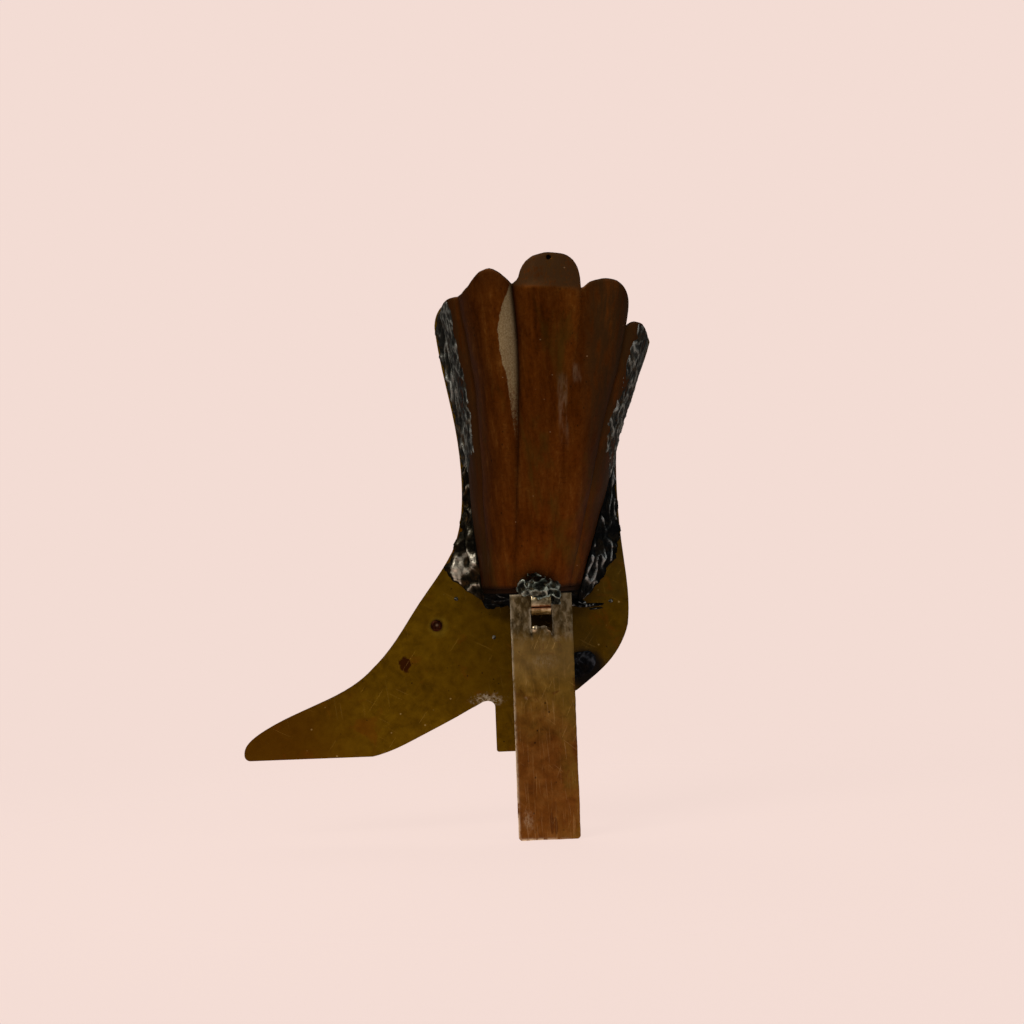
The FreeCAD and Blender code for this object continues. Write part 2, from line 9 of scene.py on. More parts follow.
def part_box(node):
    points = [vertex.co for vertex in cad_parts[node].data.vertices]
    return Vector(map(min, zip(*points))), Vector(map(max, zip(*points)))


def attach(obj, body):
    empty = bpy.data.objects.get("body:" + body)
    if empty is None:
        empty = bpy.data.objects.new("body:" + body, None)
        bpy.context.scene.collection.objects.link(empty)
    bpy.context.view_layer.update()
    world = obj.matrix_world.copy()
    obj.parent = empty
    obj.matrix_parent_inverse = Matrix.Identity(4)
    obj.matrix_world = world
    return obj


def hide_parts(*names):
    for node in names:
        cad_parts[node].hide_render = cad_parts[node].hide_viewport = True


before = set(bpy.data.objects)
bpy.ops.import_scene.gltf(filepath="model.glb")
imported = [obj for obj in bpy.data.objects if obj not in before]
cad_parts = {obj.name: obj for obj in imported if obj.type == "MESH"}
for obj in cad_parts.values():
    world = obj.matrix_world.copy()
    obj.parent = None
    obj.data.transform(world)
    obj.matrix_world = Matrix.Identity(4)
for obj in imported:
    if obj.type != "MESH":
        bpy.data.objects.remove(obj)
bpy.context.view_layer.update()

# Lengths below are in millimetres, in the frame of the CAD model. MM turns them into metres.
MM = 0.001


def node_box(name):
    """A CAD node's lowest and highest corner, in millimetres."""
    low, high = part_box(name)
    return np.array(low) / MM, np.array(high) / MM


PLATE_LOW = node_box("boot_plate")[0]
STRUT_LOW, STRUT_HIGH = node_box("strut")
LOOP_LOW, LOOP_HIGH = node_box("hinge_loop")
FLOOR_LOW, FLOOR_HIGH = node_box("pocket_floor")
BACK = PLATE_LOW[1]
FLOOR_Z = STRUT_LOW[2]
STRUT_X = (STRUT_LOW[0] + STRUT_HIGH[0]) / 2
HINGE_Y = (STRUT_LOW[1] + STRUT_HIGH[1]) / 2
HINGE_Z = (LOOP_LOW[2] + LOOP_HIGH[2]) / 2
# How far the strut opens from hanging straight down.
OPEN_ANGLE = math.radians(50.2)


# ------------------------------------------------------------------ shapes: helpers
def clamp01(value):
    return np.clip(value, 0.0, 1.0)


def ease(low, high, value):
    """0 below low, 1 above high, smooth between."""
    share = clamp01((value - low) / (high - low))
    return share * share * (3 - 2 * share)


def rough(points, scale, octaves=4, seed=0.0):
    """Fractal noise, about -1 to 1, at points in millimetres. scale is in lumps per millimetre."""
    shift = Vector((seed * 17.3, seed * 5.1, -seed * 9.7))
    return np.array(
        [noise.fractal(Vector(p) * scale + shift, 1.0, 2.1, octaves) for p in points]
    )


def ridged(points, scale, seed=0.0):
    """Sharp-crested noise, about 0 to 1, at points in millimetres."""
    shift = Vector((seed * 11.9, -seed * 7.7, seed * 3.3))
    values = [1 - 2 * abs(noise.noise(Vector(p) * scale + shift)) for p in points]
    return np.array(values)


def new_object(name, data):
    """An object in the scene."""
    made = bpy.data.objects.new(name, data)
    bpy.context.scene.collection.objects.link(made)
    return made


def mesh_piece(name, points, faces, material, attributes):
    """A mesh object from points in millimetres, with float attributes for its material."""
    mesh = bpy.data.meshes.new(name)
    mesh.from_pydata([tuple(p * MM) for p in np.asarray(points, float)], [], faces)
    for key, values in attributes.items():
        layer = mesh.attributes.new(key, "FLOAT", "POINT")
        layer.data.foreach_set("value", np.asarray(values, np.float32))
    mesh.validate()
    builder = bmesh.new()
    builder.from_mesh(mesh)
    bmesh.ops.recalc_face_normals(builder, faces=builder.faces)
    builder.to_mesh(mesh)
    builder.free()
    mesh.shade_smooth()
    mesh.materials.append(material)
    return new_object(name, mesh)


def ring_faces(rings, count):
    """Faces of a closed skin over rings of points that each go once round."""
    faces = []
    for r in range(rings - 1):
        for c in range(count):
            n = (c + 1) % count
            a, b = r * count, (r + 1) * count
            faces.append((a + c, a + n, b + n, b + c))
    faces.append(tuple(range(count)))
    last = (rings - 1) * count
    faces.append(tuple(last + c for c in reversed(range(count))))
    return faces


def sheet_faces(rows, columns):
    """Faces of a closed sheet: rows of points up its outside, then as many down its inside."""
    faces = []
    for row in range(rows):
        following = (row + 1) % rows
        for column in range(columns - 1):
            a, b = row * columns + column, following * columns + column
            faces.append((a, a + 1, b + 1, b))
    for column in (0, columns - 1):
        side = [row * columns + column for row in range(rows)]
        for k in range(rows // 2 - 1):
            faces.append((side[k], side[k + 1], side[-2 - k], side[-1 - k]))
    return faces


def bake_modifiers(piece):
    """Turns a piece's modifiers into its own mesh."""
    graph = bpy.context.evaluated_depsgraph_get()
    mesh = bpy.data.meshes.new_from_object(piece.evaluated_get(graph))
    piece.modifiers.clear()
    piece.data = mesh
    return piece


def bevel_edges(piece, width, turn):
    """Rounds the edges that turn by more than some degrees, as filing and wear do."""
    bevel = piece.modifiers.new("soft_edges", "BEVEL")
    bevel.width = width * MM
    bevel.segments = 2
    bevel.limit_method = "ANGLE"
    bevel.angle_limit = math.radians(turn)
    return bevel


# ------------------------------------------------------------------ looks: helpers
class Look:
    """A material built node by node, with coordinates in millimetres of the CAD frame."""

    def __init__(self, name, metallic, specular=0.5):
        self.colour = None
        self.material = bpy.data.materials.new(name)
        self.material.use_nodes = True
        self.tree = self.material.node_tree
        self.shader = self.tree.nodes["Principled BSDF"]
        self.shader.inputs["Metallic"].default_value = metallic
        self.shader.inputs["Specular IOR Level"].default_value = specular
        place = self.tree.nodes.new("ShaderNodeTexCoord").outputs["Object"]
        self.place = self.vector("MULTIPLY", place, (1000, 1000, 1000))

    def link(self, source, target):
        """Puts a socket or a plain value into an input."""
        if isinstance(source, bpy.types.NodeSocket):
            self.tree.links.new(source, target)
        else:
            target.default_value = source

    def vector(self, operation, first, second):
        node = self.tree.nodes.new("ShaderNodeVectorMath")
        node.operation = operation
        self.link(first, node.inputs[0])
        self.link(second, node.inputs[1])
        return node.outputs["Value" if operation == "DISTANCE" else "Vector"]

    def math(self, operation, first, second):
        node = self.tree.nodes.new("ShaderNodeMath")
        node.operation = operation
        self.link(first, node.inputs[0])
        self.link(second, node.inputs[1])
        return node.outputs[0]

    def times(self, first, second):
        return self.math("MULTIPLY", first, second)

    def plus(self, first, second):
        return self.math("ADD", first, second)

    def minus(self, first, second):
        return self.math("SUBTRACT", first, second)

    def most(self, first, *others):
        for other in others:
            first = self.math("MAXIMUM", first, other)
        return first

    def line(self, value, slope, start):
        """slope times value, plus start."""
        result = self.math("MULTIPLY_ADD", value, slope)
        self.link(start, result.node.inputs[2])
        return result

    def noise(self, scale, detail=4.0, roughness=0.55, stretch=(1, 1, 1), distortion=0.0, shift=0.0):
        node = self.tree.nodes.new("ShaderNodeTexNoise")
        node.inputs["Scale"].default_value = scale
        node.inputs["Detail"].default_value = detail
        node.inputs["Roughness"].default_value = roughness
        node.inputs["Distortion"].default_value = distortion
        moved = self.vector("ADD", self.place, (shift, shift * 0.7, -shift))
        self.link(self.vector("MULTIPLY", moved, stretch), node.inputs["Vector"])
        return node.outputs["Fac"]

    def cells(self, scale, stretch=(1, 1, 1)):
        node = self.tree.nodes.new("ShaderNodeTexVoronoi")
        node.inputs["Scale"].default_value = scale
        self.link(self.vector("MULTIPLY", self.place, stretch), node.inputs["Vector"])
        return node.outputs["Distance"]

    def ramp(self, value, *stops):
        """Colours along a value: stops are (place, colour), linear between."""
        node = self.tree.nodes.new("ShaderNodeValToRGB")
        points = node.color_ramp.elements
        while len(points) < len(stops):
            points.new(0.5)
        for point, (spot, colour) in zip(points, stops):
            point.position = spot
            point.color = (*colour, 1.0)
        self.link(value, node.inputs["Fac"])
        return node.outputs["Color"]

    def step(self, value, low, high, top=1.0):
        """0 below low, top above high, smooth between. low may be above high."""
        node = self.tree.nodes.new("ShaderNodeMapRange")
        node.interpolation_type = "SMOOTHSTEP"
        self.link(value, node.inputs["Value"])
        ends = (low, high, 0.0, top) if low <= high else (high, low, top, 0.0)
        for socket, end in zip(("From Min", "From Max", "To Min", "To Max"), ends):
            node.inputs[socket].default_value = end
        return node.outputs["Result"]

    def mix(self, share, first, second):
        node = self.tree.nodes.new("ShaderNodeMix")
        node.data_type = "RGBA"
        self.link(share, node.inputs["Factor"])
        colours = [socket for socket in node.inputs if socket.type == "RGBA"]
        for socket, value in zip(colours, (first, second)):
            self.link((*value, 1.0) if isinstance(value, tuple) else value, socket)
        return next(socket for socket in node.outputs if socket.type == "RGBA")

    def tint(self, share, colour, strength=None):
        """Lays a colour over the look's own colour, by a share and, if given, a strength."""
        if strength is not None:
            share = self.times(share, strength)
        self.colour = self.mix(share, self.colour, colour)

    def axis(self, name):
        node = self.tree.nodes.new("ShaderNodeSeparateXYZ")
        self.link(self.place, node.inputs[0])
        return node.outputs[name]

    def attribute(self, name):
        node = self.tree.nodes.new("ShaderNodeAttribute")
        node.attribute_name = name
        return node.outputs["Fac"]

    def spot(self, middle, radius, soft, stretch=(1, 1, 1), ragged=0.0, ragged_scale=0.8):
        """1 inside a round or stretched spot at a point, 0 outside, with a ragged edge if asked."""
        scaled = self.vector("MULTIPLY", self.place, stretch)
        target = tuple(m * s for m, s in zip(middle, stretch))
        distance = self.vector("DISTANCE", scaled, target)
        if ragged:
            wander = self.line(self.noise(ragged_scale, 3.0), ragged, -ragged / 2)
            distance = self.plus(distance, wander)
        return self.step(distance, radius + soft, radius - soft)

    def bump(self, height, distance, strength, under=None):
        node = self.tree.nodes.new("ShaderNodeBump")
        node.inputs["Distance"].default_value = distance * MM
        node.inputs["Strength"].default_value = strength
        self.link(height, node.inputs["Height"])
        if under is not None:
            self.link(under, node.inputs["Normal"])
        return node.outputs["Normal"]

    def finish(self, roughness, normal):
        self.link(self.colour, self.shader.inputs["Base Color"])
        self.link(roughness, self.shader.inputs["Roughness"])
        self.link(normal, self.shader.inputs["Normal"])
        return self.material


def scratches(look, *families):
    """Fine straight lines, 1 on a line. Each family: degrees from the vertical, cut-off, shift."""
    return look.most(*(scratch_family(look, *family) for family in families))


def scratch_family(look, angle, cutoff, shift):
    """Fine straight lines at an angle to the vertical, in degrees, 1 on a line."""
    turned = look.tree.nodes.new("ShaderNodeVectorRotate")
    turned.rotation_type = "Y_AXIS"
    turned.inputs["Angle"].default_value = math.radians(angle)
    look.link(look.vector("ADD", look.place, (shift, 0, shift)), turned.inputs["Vector"])
    stretched = look.vector("MULTIPLY", turned.outputs["Vector"], (4.2, 0.5, 0.13))
    lines = look.tree.nodes.new("ShaderNodeTexNoise")
    lines.inputs["Scale"].default_value = 1.0
    lines.inputs["Detail"].default_value = 1.0
    look.link(stretched, lines.inputs["Vector"])
    return look.step(lines.outputs["Fac"], cutoff, cutoff + 0.05)


# ------------------------------------------------------------------ looks: the metals
def brass_plate_look():
    """Old sheet brass: brown-olive patina, fine scratches, stains, and pale rubbed spots."""
    look = Look("patinated_brass", 1.0)
    clouds = look.noise(0.07, 5.0, 0.6, (1, 1, 1), 0.4, 3.0)
    mottled = look.noise(0.55, 6.0, 0.62, (1, 1, 1), 0.2, 9.0)
    grain = look.noise(4.5, 3.0, 0.6)
    tone = look.line(mottled, 0.55, look.times(clouds, 0.45))
    look.colour = look.ramp(
        tone,
        (0.30, (0.088, 0.042, 0.0016)),
        (0.47, (0.142, 0.070, 0.0022)),
        (0.60, (0.178, 0.092, 0.0034)),
        (0.75, (0.240, 0.130, 0.0080)),
    )
    # The toe is redder, the heel's cup greyer and duller.
    across = look.axis("X")
    look.tint(look.step(across, -26.0, -48.0, 0.85), (0.106, 0.038, 0.0015))
    shade = look.times(look.step(across, -24.0, -6.0), look.step(look.axis("Z"), 4.0, 14.0, 0.45))
    look.tint(shade, (0.092, 0.045, 0.0016))
    dull = look.times(look.step(across, 2.0, 14.0), look.step(clouds, 0.30, 0.55, 0.8))
    look.tint(dull, (0.084, 0.047, 0.0075))
    # Reddish blush where the zinc has gone, and dark specks of dirt.
    blush = look.step(look.noise(0.16, 4.0, 0.6, (1, 1, 1), 0.8, 21.0), 0.56, 0.70, 0.55)
    look.tint(blush, (0.170, 0.052, 0.003))
    speck_field = look.step(look.noise(0.22, 2.0, 0.5, (1, 1, 1), 0.0, 31.0), 0.48, 0.60)
    look.tint(look.step(look.cells(0.62), 0.13, 0.05), (0.030, 0.016, 0.004), speck_field)
    pale_specks = look.times(look.step(look.cells(0.27, (1, 1, 1.1)), 0.075, 0.03), 0.7)
    look.tint(pale_specks, (0.46, 0.30, 0.10))
    # On the back only: the worn patch under the instep, the stain, and the ring round the pin.
    back = look.step(look.axis("Y"), 0.2, -0.3)

    def blot(spot, strength, colour):
        look.tint(look.times(spot, back), colour, strength)

    wear_and_highlight = look.spot((-6.9, BACK, 10.6), 1.0, 0.7, (0.42, 0.2, 1.0), 2.6, 1.4)
    wear_and_highlight = look.times(wear_and_highlight, look.step(look.noise(2.4, 5.0, 0.75, (0.6, 1, 1), 0.2, 91.0), 0.42, 0.58))
    blot(wear_and_highlight, 0.95, (0.62, 0.52, 0.36))
    stain = look.spot((-23.3, BACK, 18.4), 1.25, 0.20, (1.1, 1.0, 0.85), 1.8, 0.7)
    blot(stain, 0.95, (0.045, 0.010, 0.002))
    halo = look.spot((-16.2, BACK, 25.8), 2.0, 0.5, (1, 0.5, 1), 1.0)
    blot(halo, 0.4, (0.27, 0.17, 0.016))
    ring = look.spot((-16.6, BACK, 26.1), 1.35, 0.35, (1, 0.5, 1), 0.5)
    blot(ring, 0.85, (0.040, 0.015, 0.003))
    # Flux and heat have darkened the brass beside the solder; behind the slot the dark is painted shadow
    # over flux, and a near-black patch lies round the heel puddle.
    flux = look.spot((4.0, BACK, 31.5), 12.2, 2.2, (1.0, 0.3, 2.1), 3.4, 0.5)
    blot(flux, 0.65, (0.040, 0.020, 0.003))
    # Painted shadow behind the hinge slot, over flux darkening.
    behind_slot = look.spot((4.6, BACK, 27.2), 3.4, 2.0, (0.9, 0.3, 1.0), 3.0, 0.5)
    blot(behind_slot, 0.85, (0.008, 0.005, 0.002))
    # A near-black patch round the heel puddle.
    below_patch = look.spot((13.2, BACK, 16.2), 4.0, 1.3, (1.0, 0.3, 1.0), 1.4, 0.6)
    blot(below_patch, 0.95, (0.010, 0.0095, 0.009))
    scratch = scratches(look, (62.0, 0.735, 2.0), (-35.0, 0.745, 12.0), (8.0, 0.73, 33.0))
    look.tint(scratch, (0.40, 0.25, 0.07), 0.16)
    roughness = look.line(mottled, 0.30, 0.32)
    roughness = look.minus(roughness, look.times(wear_and_highlight, 0.12))
    waves = look.bump(look.noise(0.035, 2.0, 0.5, (1, 1, 1), 0.0, 5.0), 1.2, 0.5)
    pits = look.bump(mottled, 0.06, 0.6, waves)
    pits = look.bump(grain, 0.012, 0.6, pits)
    lines = look.times(scratch, -1.0)
    return look.finish(roughness, look.bump(lines, 0.02, 0.7, pits))


# The painted highlight strip's left limit: height and X.
FACET_LIMITS = (
    (60, 0.9), (64, 0.6), (69, 0.2), (73, -0.1), (76, -0.5), (77.5, -1.0), (80.5, -1.7), (84.5, -1.85),
    (88.5, -1.0), (91.3, 0.2), (93.4, 0.9),
)


def copper_look():
    """Oxidised copper: red-brown, streaked along the flutes, with painted shade in the creases and inside,
    and painted highlights on the flanks beside the middle flute.
    """
    look = Look("oxidised_copper", 1.0)
    along = (1.0, 1.0, 0.055)
    streaks = look.noise(0.75, 5.0, 0.62, along, 0.15, 2.0)
    hairs = look.noise(3.2, 3.0, 0.6, (1.0, 1.0, 0.03), 0.0, 7.0)
    clouds = look.noise(0.085, 4.0, 0.6, (1, 1, 0.6), 0.5, 11.0)
    grain = look.noise(3.8, 4.0, 0.65)
    mottle = look.noise(1.5, 4.0, 0.7, (1, 1, 0.7), 0.2, 83.0)
    tone = look.line(streaks, 0.34, look.times(clouds, 0.36))
    tone = look.plus(tone, look.times(mottle, 0.30))
    look.colour = look.ramp(
        tone,
        (0.36, (0.060, 0.0140, 0.0011)),
        (0.46, (0.104, 0.0245, 0.0019)),
        (0.54, (0.132, 0.0350, 0.0036)),
        (0.64, (0.185, 0.0640, 0.0110)),
    )
    look.tint(look.step(hairs, 0.58, 0.72, 0.24), (0.210, 0.080, 0.020))
    look.tint(look.step(hairs, 0.42, 0.30, 0.34), (0.040, 0.010, 0.0015))
    # Short marks across the flutes, where the sheet was worked, and pits filled with grime.
    worked = look.step(look.noise(1.3, 4.0, 0.7, (0.35, 1.0, 2.2), 0.3, 101.0), 0.57, 0.66, 0.40)
    look.tint(worked, (0.050, 0.013, 0.0018))
    grime = look.step(look.cells(0.85, (1.0, 1.0, 0.6)), 0.17, 0.07)
    grime = look.times(grime, look.step(look.noise(0.20, 2.0, 0.5, (1, 1, 1), 0.0, 113.0), 0.50, 0.62))
    look.tint(grime, (0.018, 0.007, 0.0022), 0.7)
    # Green-brown film in patches, and duller flutes towards the plate's edges.
    film = look.step(look.noise(0.13, 4.0, 0.6, (1, 1, 0.35), 0.6, 41.0), 0.53, 0.70, 0.55)
    look.tint(film, (0.085, 0.046, 0.0065))
    dull = look.times(look.attribute("dull"), look.step(streaks, 0.25, 0.60))
    look.tint(dull, (0.046, 0.022, 0.0075))
    tip = look.times(look.attribute("tip"), look.step(mottle, 0.20, 0.56, 0.95))
    look.tint(tip, (0.080, 0.037, 0.0135))
    # A painted highlight: the bright strip on the flank beside the middle flute.
    up, across = look.axis("Z"), look.axis("X")
    low, tall, left, wide = 60, 40, 2, 4
    limit = look.ramp(
        look.times(look.minus(up, float(low)), 1 / tall),
        *(((height - low) / tall, ((x + left) / wide,) * 3) for height, x in FACET_LIMITS),
    )
    limit = look.line(limit, float(wide), -float(left))
    ragged = look.times(look.minus(look.noise(0.9, 5.0, 0.7, (1, 1, 0.6), 0.0, 71.0), 0.5), 1.1)
    inside = look.step(look.plus(look.minus(across, limit), ragged), -0.10, 0.12)
    facet = look.times(look.attribute("facet"), inside)
    wear_and_highlight = look.noise(2.2, 6.0, 0.8, (1, 1, 0.6), 0.3, 17.0)
    wear_and_highlight = look.plus(wear_and_highlight, look.step(up, 58.0, 80.0, 0.36))
    facet = look.times(facet, look.step(wear_and_highlight, 0.50, 0.86))
    facet = look.times(facet, look.step(up, 60.0, 66.0))
    speckle = look.noise(4.2, 5.0, 0.8, (1, 1, 0.7), 0.2, 57.0)
    highlight_patches = look.ramp(
        speckle, (0.36, (0.200, 0.130, 0.058)), (0.50, (0.300, 0.210, 0.105)), (0.64, (0.390, 0.290, 0.160))
    )
    look.tint(facet, highlight_patches, 0.92)
    # Painted shade inside the small hole near the middle lobe's tip.
    hole = look.spot((HOLE_X, 0, HOLE_Z), 0.50, 0.12, (1, 0, 1), 0.3)
    look.tint(hole, (0.006, 0.004, 0.003), 0.95)
    # Painted highlights: pale strips on both flanks of the crease on the heel side of the middle flute.
    pale = look.times(look.attribute("pale"), look.step(streaks, 0.35, 0.62))
    look.tint(pale, (0.250, 0.150, 0.085), 0.6)
    # Painted shade along the creases between the flutes.
    crease = look.attribute("crease")
    look.tint(crease, (0.022, 0.0065, 0.0018), 0.85)
    # Painted shade inside the pocket, along its floor, beside the plate and round the hinge solder.
    painted_shade = look.times(look.attribute("painted_shade"), look.step(grain, 0.25, 0.65))
    look.tint(painted_shade, (0.016, 0.008, 0.0035))
    nicks = look.times(look.step(look.cells(0.24, (1.0, 1.0, 1.4)), 0.06, 0.02), 0.6)
    look.tint(nicks, (0.420, 0.240, 0.120))
    edge = look.attribute("edge")
    look.tint(edge, (0.110, 0.050, 0.020), 0.5)
    roughness = look.line(streaks, 0.26, 0.36)
    # Painted shade: the copper goes near black below about 33 mm, under the hinge solder and at the floor
    # seam.
    seam_shade = look.step(up, 34.3, 33.0, 0.92)
    look.tint(seam_shade, (0.010, 0.006, 0.0035))
    roughness = look.plus(roughness, look.times(dull, 0.14))
    roughness = look.plus(roughness, look.times(facet, 0.10))
    roughness = look.plus(roughness, look.times(tip, 0.22))
    dents = look.bump(look.noise(0.16, 3.0, 0.5, (1, 1, 0.5), 0.0, 51.0), 0.55, 0.55)
    drawn = look.bump(streaks, 0.05, 0.5, dents)
    drawn = look.bump(hairs, 0.012, 0.5, drawn)
    return look.finish(roughness, look.bump(grain, 0.018, 0.7, look.bump(mottle, 0.03, 0.6, drawn)))


def strut_look():
    """Strip metal: tinned and rubbed at the hinge, tan below, reddish towards the foot, with painted shade
    round the slot and painted highlights on its lit edges.
    """
    look = Look("strut_strip", 1.0)
    up = look.axis("Z")
    across = look.axis("X")
    mottled = look.noise(0.45, 5.0, 0.62, (1, 1, 0.7), 0.3, 4.0)
    clouds = look.noise(0.13, 4.0, 0.6, (1, 1, 0.6), 0.5, 14.0)
    brushed = look.noise(2.6, 4.0, 0.6, (1.0, 1.0, 0.05), 0.0, 6.0)
    grain = look.noise(3.6, 4.0, 0.65, (1, 1, 1), 0.0, 9.0)
    wander = look.line(look.minus(clouds, 0.5), 16.0, up)
    brass = look.ramp(
        mottled,
        (0.30, (0.165, 0.085, 0.011)),
        (0.50, (0.245, 0.130, 0.018)),
        (0.68, (0.330, 0.190, 0.036)),
    )
    red = look.ramp(
        mottled,
        (0.30, (0.120, 0.036, 0.0055)),
        (0.50, (0.172, 0.058, 0.0090)),
        (0.70, (0.225, 0.088, 0.0180)),
    )
    look.colour = look.mix(look.step(wander, 18.0, -1.0, 0.97), brass, red)
    # Brown-olive film down the heel side.
    film = look.times(look.step(across, 4.5, 10.5, 0.75), look.step(clouds, 0.38, 0.60))
    look.tint(film, (0.205, 0.115, 0.016))
    blotch = look.step(look.noise(0.30, 5.0, 0.65, (1, 1, 0.8), 0.9, 23.0), 0.57, 0.66, 0.7)
    look.tint(blotch, (0.135, 0.045, 0.008))
    look.tint(look.step(brushed, 0.56, 0.70, 0.30), (0.430, 0.240, 0.080))
    # Solder has tinned the top, over a ragged edge.
    tin_edge = look.line(look.minus(mottled, 0.5), 9.0, up)
    tin = look.step(tin_edge, 22.2, 25.5)
    smears = look.noise(0.85, 4.0, 0.62, (1, 1, 0.6), 0.3, 33.0)
    tin_tone = look.ramp(
        smears,
        (0.40, (0.036, 0.028, 0.016)),
        (0.50, (0.150, 0.115, 0.062)),
        (0.61, (0.360, 0.285, 0.180)),
    )
    look.tint(tin, tin_tone, 0.78)
    specks = look.times(look.step(look.cells(0.60, (1, 1, 0.8)), 0.15, 0.06), 0.85)
    field = look.step(look.noise(0.25, 2.0, 0.5, (1, 1, 1), 0.0, 61.0), 0.50, 0.62)
    look.tint(specks, (0.026, 0.012, 0.005), field)
    pale = look.most(
        look.spot((4.8, STRUT_LOW[1], 18.8), 1.3, 1.1, (0.6, 0.3, 1.3), 1.5, 0.8),
        look.spot((0.6, STRUT_LOW[1], -12.6), 0.9, 0.8, (1.2, 0.3, 0.6), 1.2),
        look.spot((1.0, STRUT_LOW[1], 11.7), 0.3, 0.25, (1, 0.3, 1)),
    )
    pale = look.times(pale, look.step(look.noise(2.8, 5.0, 0.75, (1, 1, 0.4), 0.2, 95.0), 0.40, 0.62))
    look.tint(pale, (0.52, 0.38, 0.22), 0.55)
    sheen = look.times(look.step(up, 13.0, 19.0), look.step(up, 26.0, 21.0, 0.45))
    look.tint(sheen, (0.330, 0.205, 0.070))
    slits = look.most(
        look.spot((5.2, STRUT_LOW[1], -13.2), 2.2, 0.3, (6.0, 0.3, 1.0), 0.6, 0.9),
        look.spot((6.0, STRUT_LOW[1], -13.9), 1.7, 0.3, (5.0, 0.3, 1.0), 0.6, 0.9),
    )
    look.tint(slits, (0.070, 0.020, 0.005), 0.6)
    scratch = scratches(look, (4.0, 0.68, 3.0), (-24.0, 0.71, 27.0), (50.0, 0.73, 41.0))
    look.tint(scratch, (0.50, 0.31, 0.14), 0.22)
    # Painted shade round the slot's edges and in the notches below its corners.
    look.tint(look.attribute("painted_shade"), (0.012, 0.008, 0.004), 0.9)
    # Painted highlights along the edges, on the lit side only.
    edge = look.attribute("edge")
    highlight_patches = look.step(look.noise(0.9, 4.0, 0.65, (1, 1, 0.5), 0.0, 81.0), 0.36, 0.58)
    bright_edge = look.times(look.times(edge, highlight_patches), look.step(across, 10.5, 1.0))
    look.tint(bright_edge, (0.80, 0.64, 0.42))
    roughness = look.line(mottled, 0.28, 0.26)
    roughness = look.minus(roughness, look.times(edge, 0.08))
    waves = look.bump(look.noise(0.08, 2.0, 0.5, (1, 1, 1), 0.0, 8.0), 0.5, 0.5)
    rolled = look.bump(smears, 0.05, 0.6, waves)
    rolled = look.bump(grain, 0.015, 0.6, rolled)
    return look.finish(roughness, look.bump(look.times(scratch, -1.0), 0.02, 0.7, rolled))


def bright_brass_look():
    """The hinge's strip, kept bright by the turning strut, with reddish tarnish at its seam."""
    look = Look("rubbed_brass", 1.0)
    mottled = look.noise(0.9, 5.0, 0.6, (1, 1, 1), 0.3, 4.0)
    drawn = look.noise(3.5, 3.0, 0.6, (0.12, 1.0, 1.0), 0.0, 8.0)
    look.colour = look.ramp(
        mottled,
        (0.36, (0.060, 0.036, 0.014)),
        (0.48, (0.260, 0.185, 0.090)),
        (0.66, (0.560, 0.450, 0.280)),
    )
    seam = look.spot((STRUT_X, LOOP_LOW[1] + 0.2, HINGE_Z - 0.95), 0.35, 0.22, (0.05, 0.5, 1.0))
    look.tint(seam, (0.120, 0.028, 0.006), 0.9)
    under = look.step(look.axis("Z"), HINGE_Z - 1.3, HINGE_Z - 2.2, 0.7)
    look.tint(under, (0.260, 0.190, 0.050))
    roughness = look.line(mottled, 0.25, 0.20)
    normal = look.bump(mottled, 0.05, 0.5, look.bump(drawn, 0.015, 0.6))
    return look.finish(roughness, normal)


def pin_look():
    """A darkened copper pin with a painted highlight in its middle."""
    look = Look("dark_pin", 1.0)
    grain = look.noise(2.2, 5.0, 0.65, (1, 1, 1), 0.4, 2.0)
    look.colour = look.ramp(
        grain, (0.30, (0.012, 0.003, 0.0015)), (0.60, (0.045, 0.012, 0.005)), (0.80, (0.09, 0.03, 0.012))
    )
    # Painted highlight in the pin's dimple.
    middle = look.spot((-16.5, BACK - 0.2, 26.2), 0.22, 0.2, (1, 0.3, 1), 0.3)
    look.tint(middle, (0.30, 0.20, 0.12), 0.6)
    roughness = look.line(grain, 0.3, 0.35)
    return look.finish(roughness, look.bump(grain, 0.06, 0.8))


def solder_look(name, dark, middle, bright, gloss, places):
    """Solder that has run and set, with painted shade in its hollows and painted highlights on its crests.

    places: where the three tones lie, from hollow to crest.
    """
    look = Look(name, 1.0)
    lumps = look.noise(0.85, 5.0, 0.65, (1, 1, 1), 1.2, 5.0)
    fine = look.noise(3.2, 5.0, 0.7, (1, 1, 1), 0.6, 15.0)
    crest = look.attribute("crest")
    tone = look.line(crest, 0.65, look.times(fine, 0.35))
    look.colour = look.ramp(tone, *zip(places, (dark, middle, bright)))
    brown = look.step(look.noise(0.5, 4.0, 0.6, (1, 1, 1), 0.5, 44.0), 0.50, 0.66, 0.7)
    look.tint(brown, tuple(a * b for a, b in zip(middle, (0.95, 0.62, 0.35))))
    flecks = look.times(look.step(look.cells(1.1), 0.22, 0.08), 0.9)
    look.tint(flecks, tuple(0.4 * c for c in dark))
    roughness = look.line(fine, 0.34, gloss)
    normal = look.bump(lumps, 0.22, 0.6)
    return look.finish(roughness, look.bump(fine, 0.05, 0.8, normal))


# ------------------------------------------------------------------ copper pocket
# Heights of the pocket's sections, and at each: its two edges on the plate, its depth, how far the
# flutes swell out and how far their creases are pinched in.
SECTION_HEIGHTS = (FLOOR_LOW[2], 48.0, 64.0, 80.0, 102.0)
TOE_EDGES = (-7.0, -8.3, -9.0, -10.9, -16.0)
HEEL_EDGES = (12.8, 17.6, 22.0, 27.4, 33.2)
DEPTHS = (9.0, 12.2, 15.0, 17.6, 20.6)
SWELLS = (0.10, 0.40, 0.65, 0.95, 1.15)
PINCHES = (0.05, 0.18, 0.35, 0.50, 0.6)
# Directions of the flutes' ends and creases, in degrees from the heel side.
CREASES = np.array([0.0, 40.0, 73.5, 110.0, 148.0, 180.0])
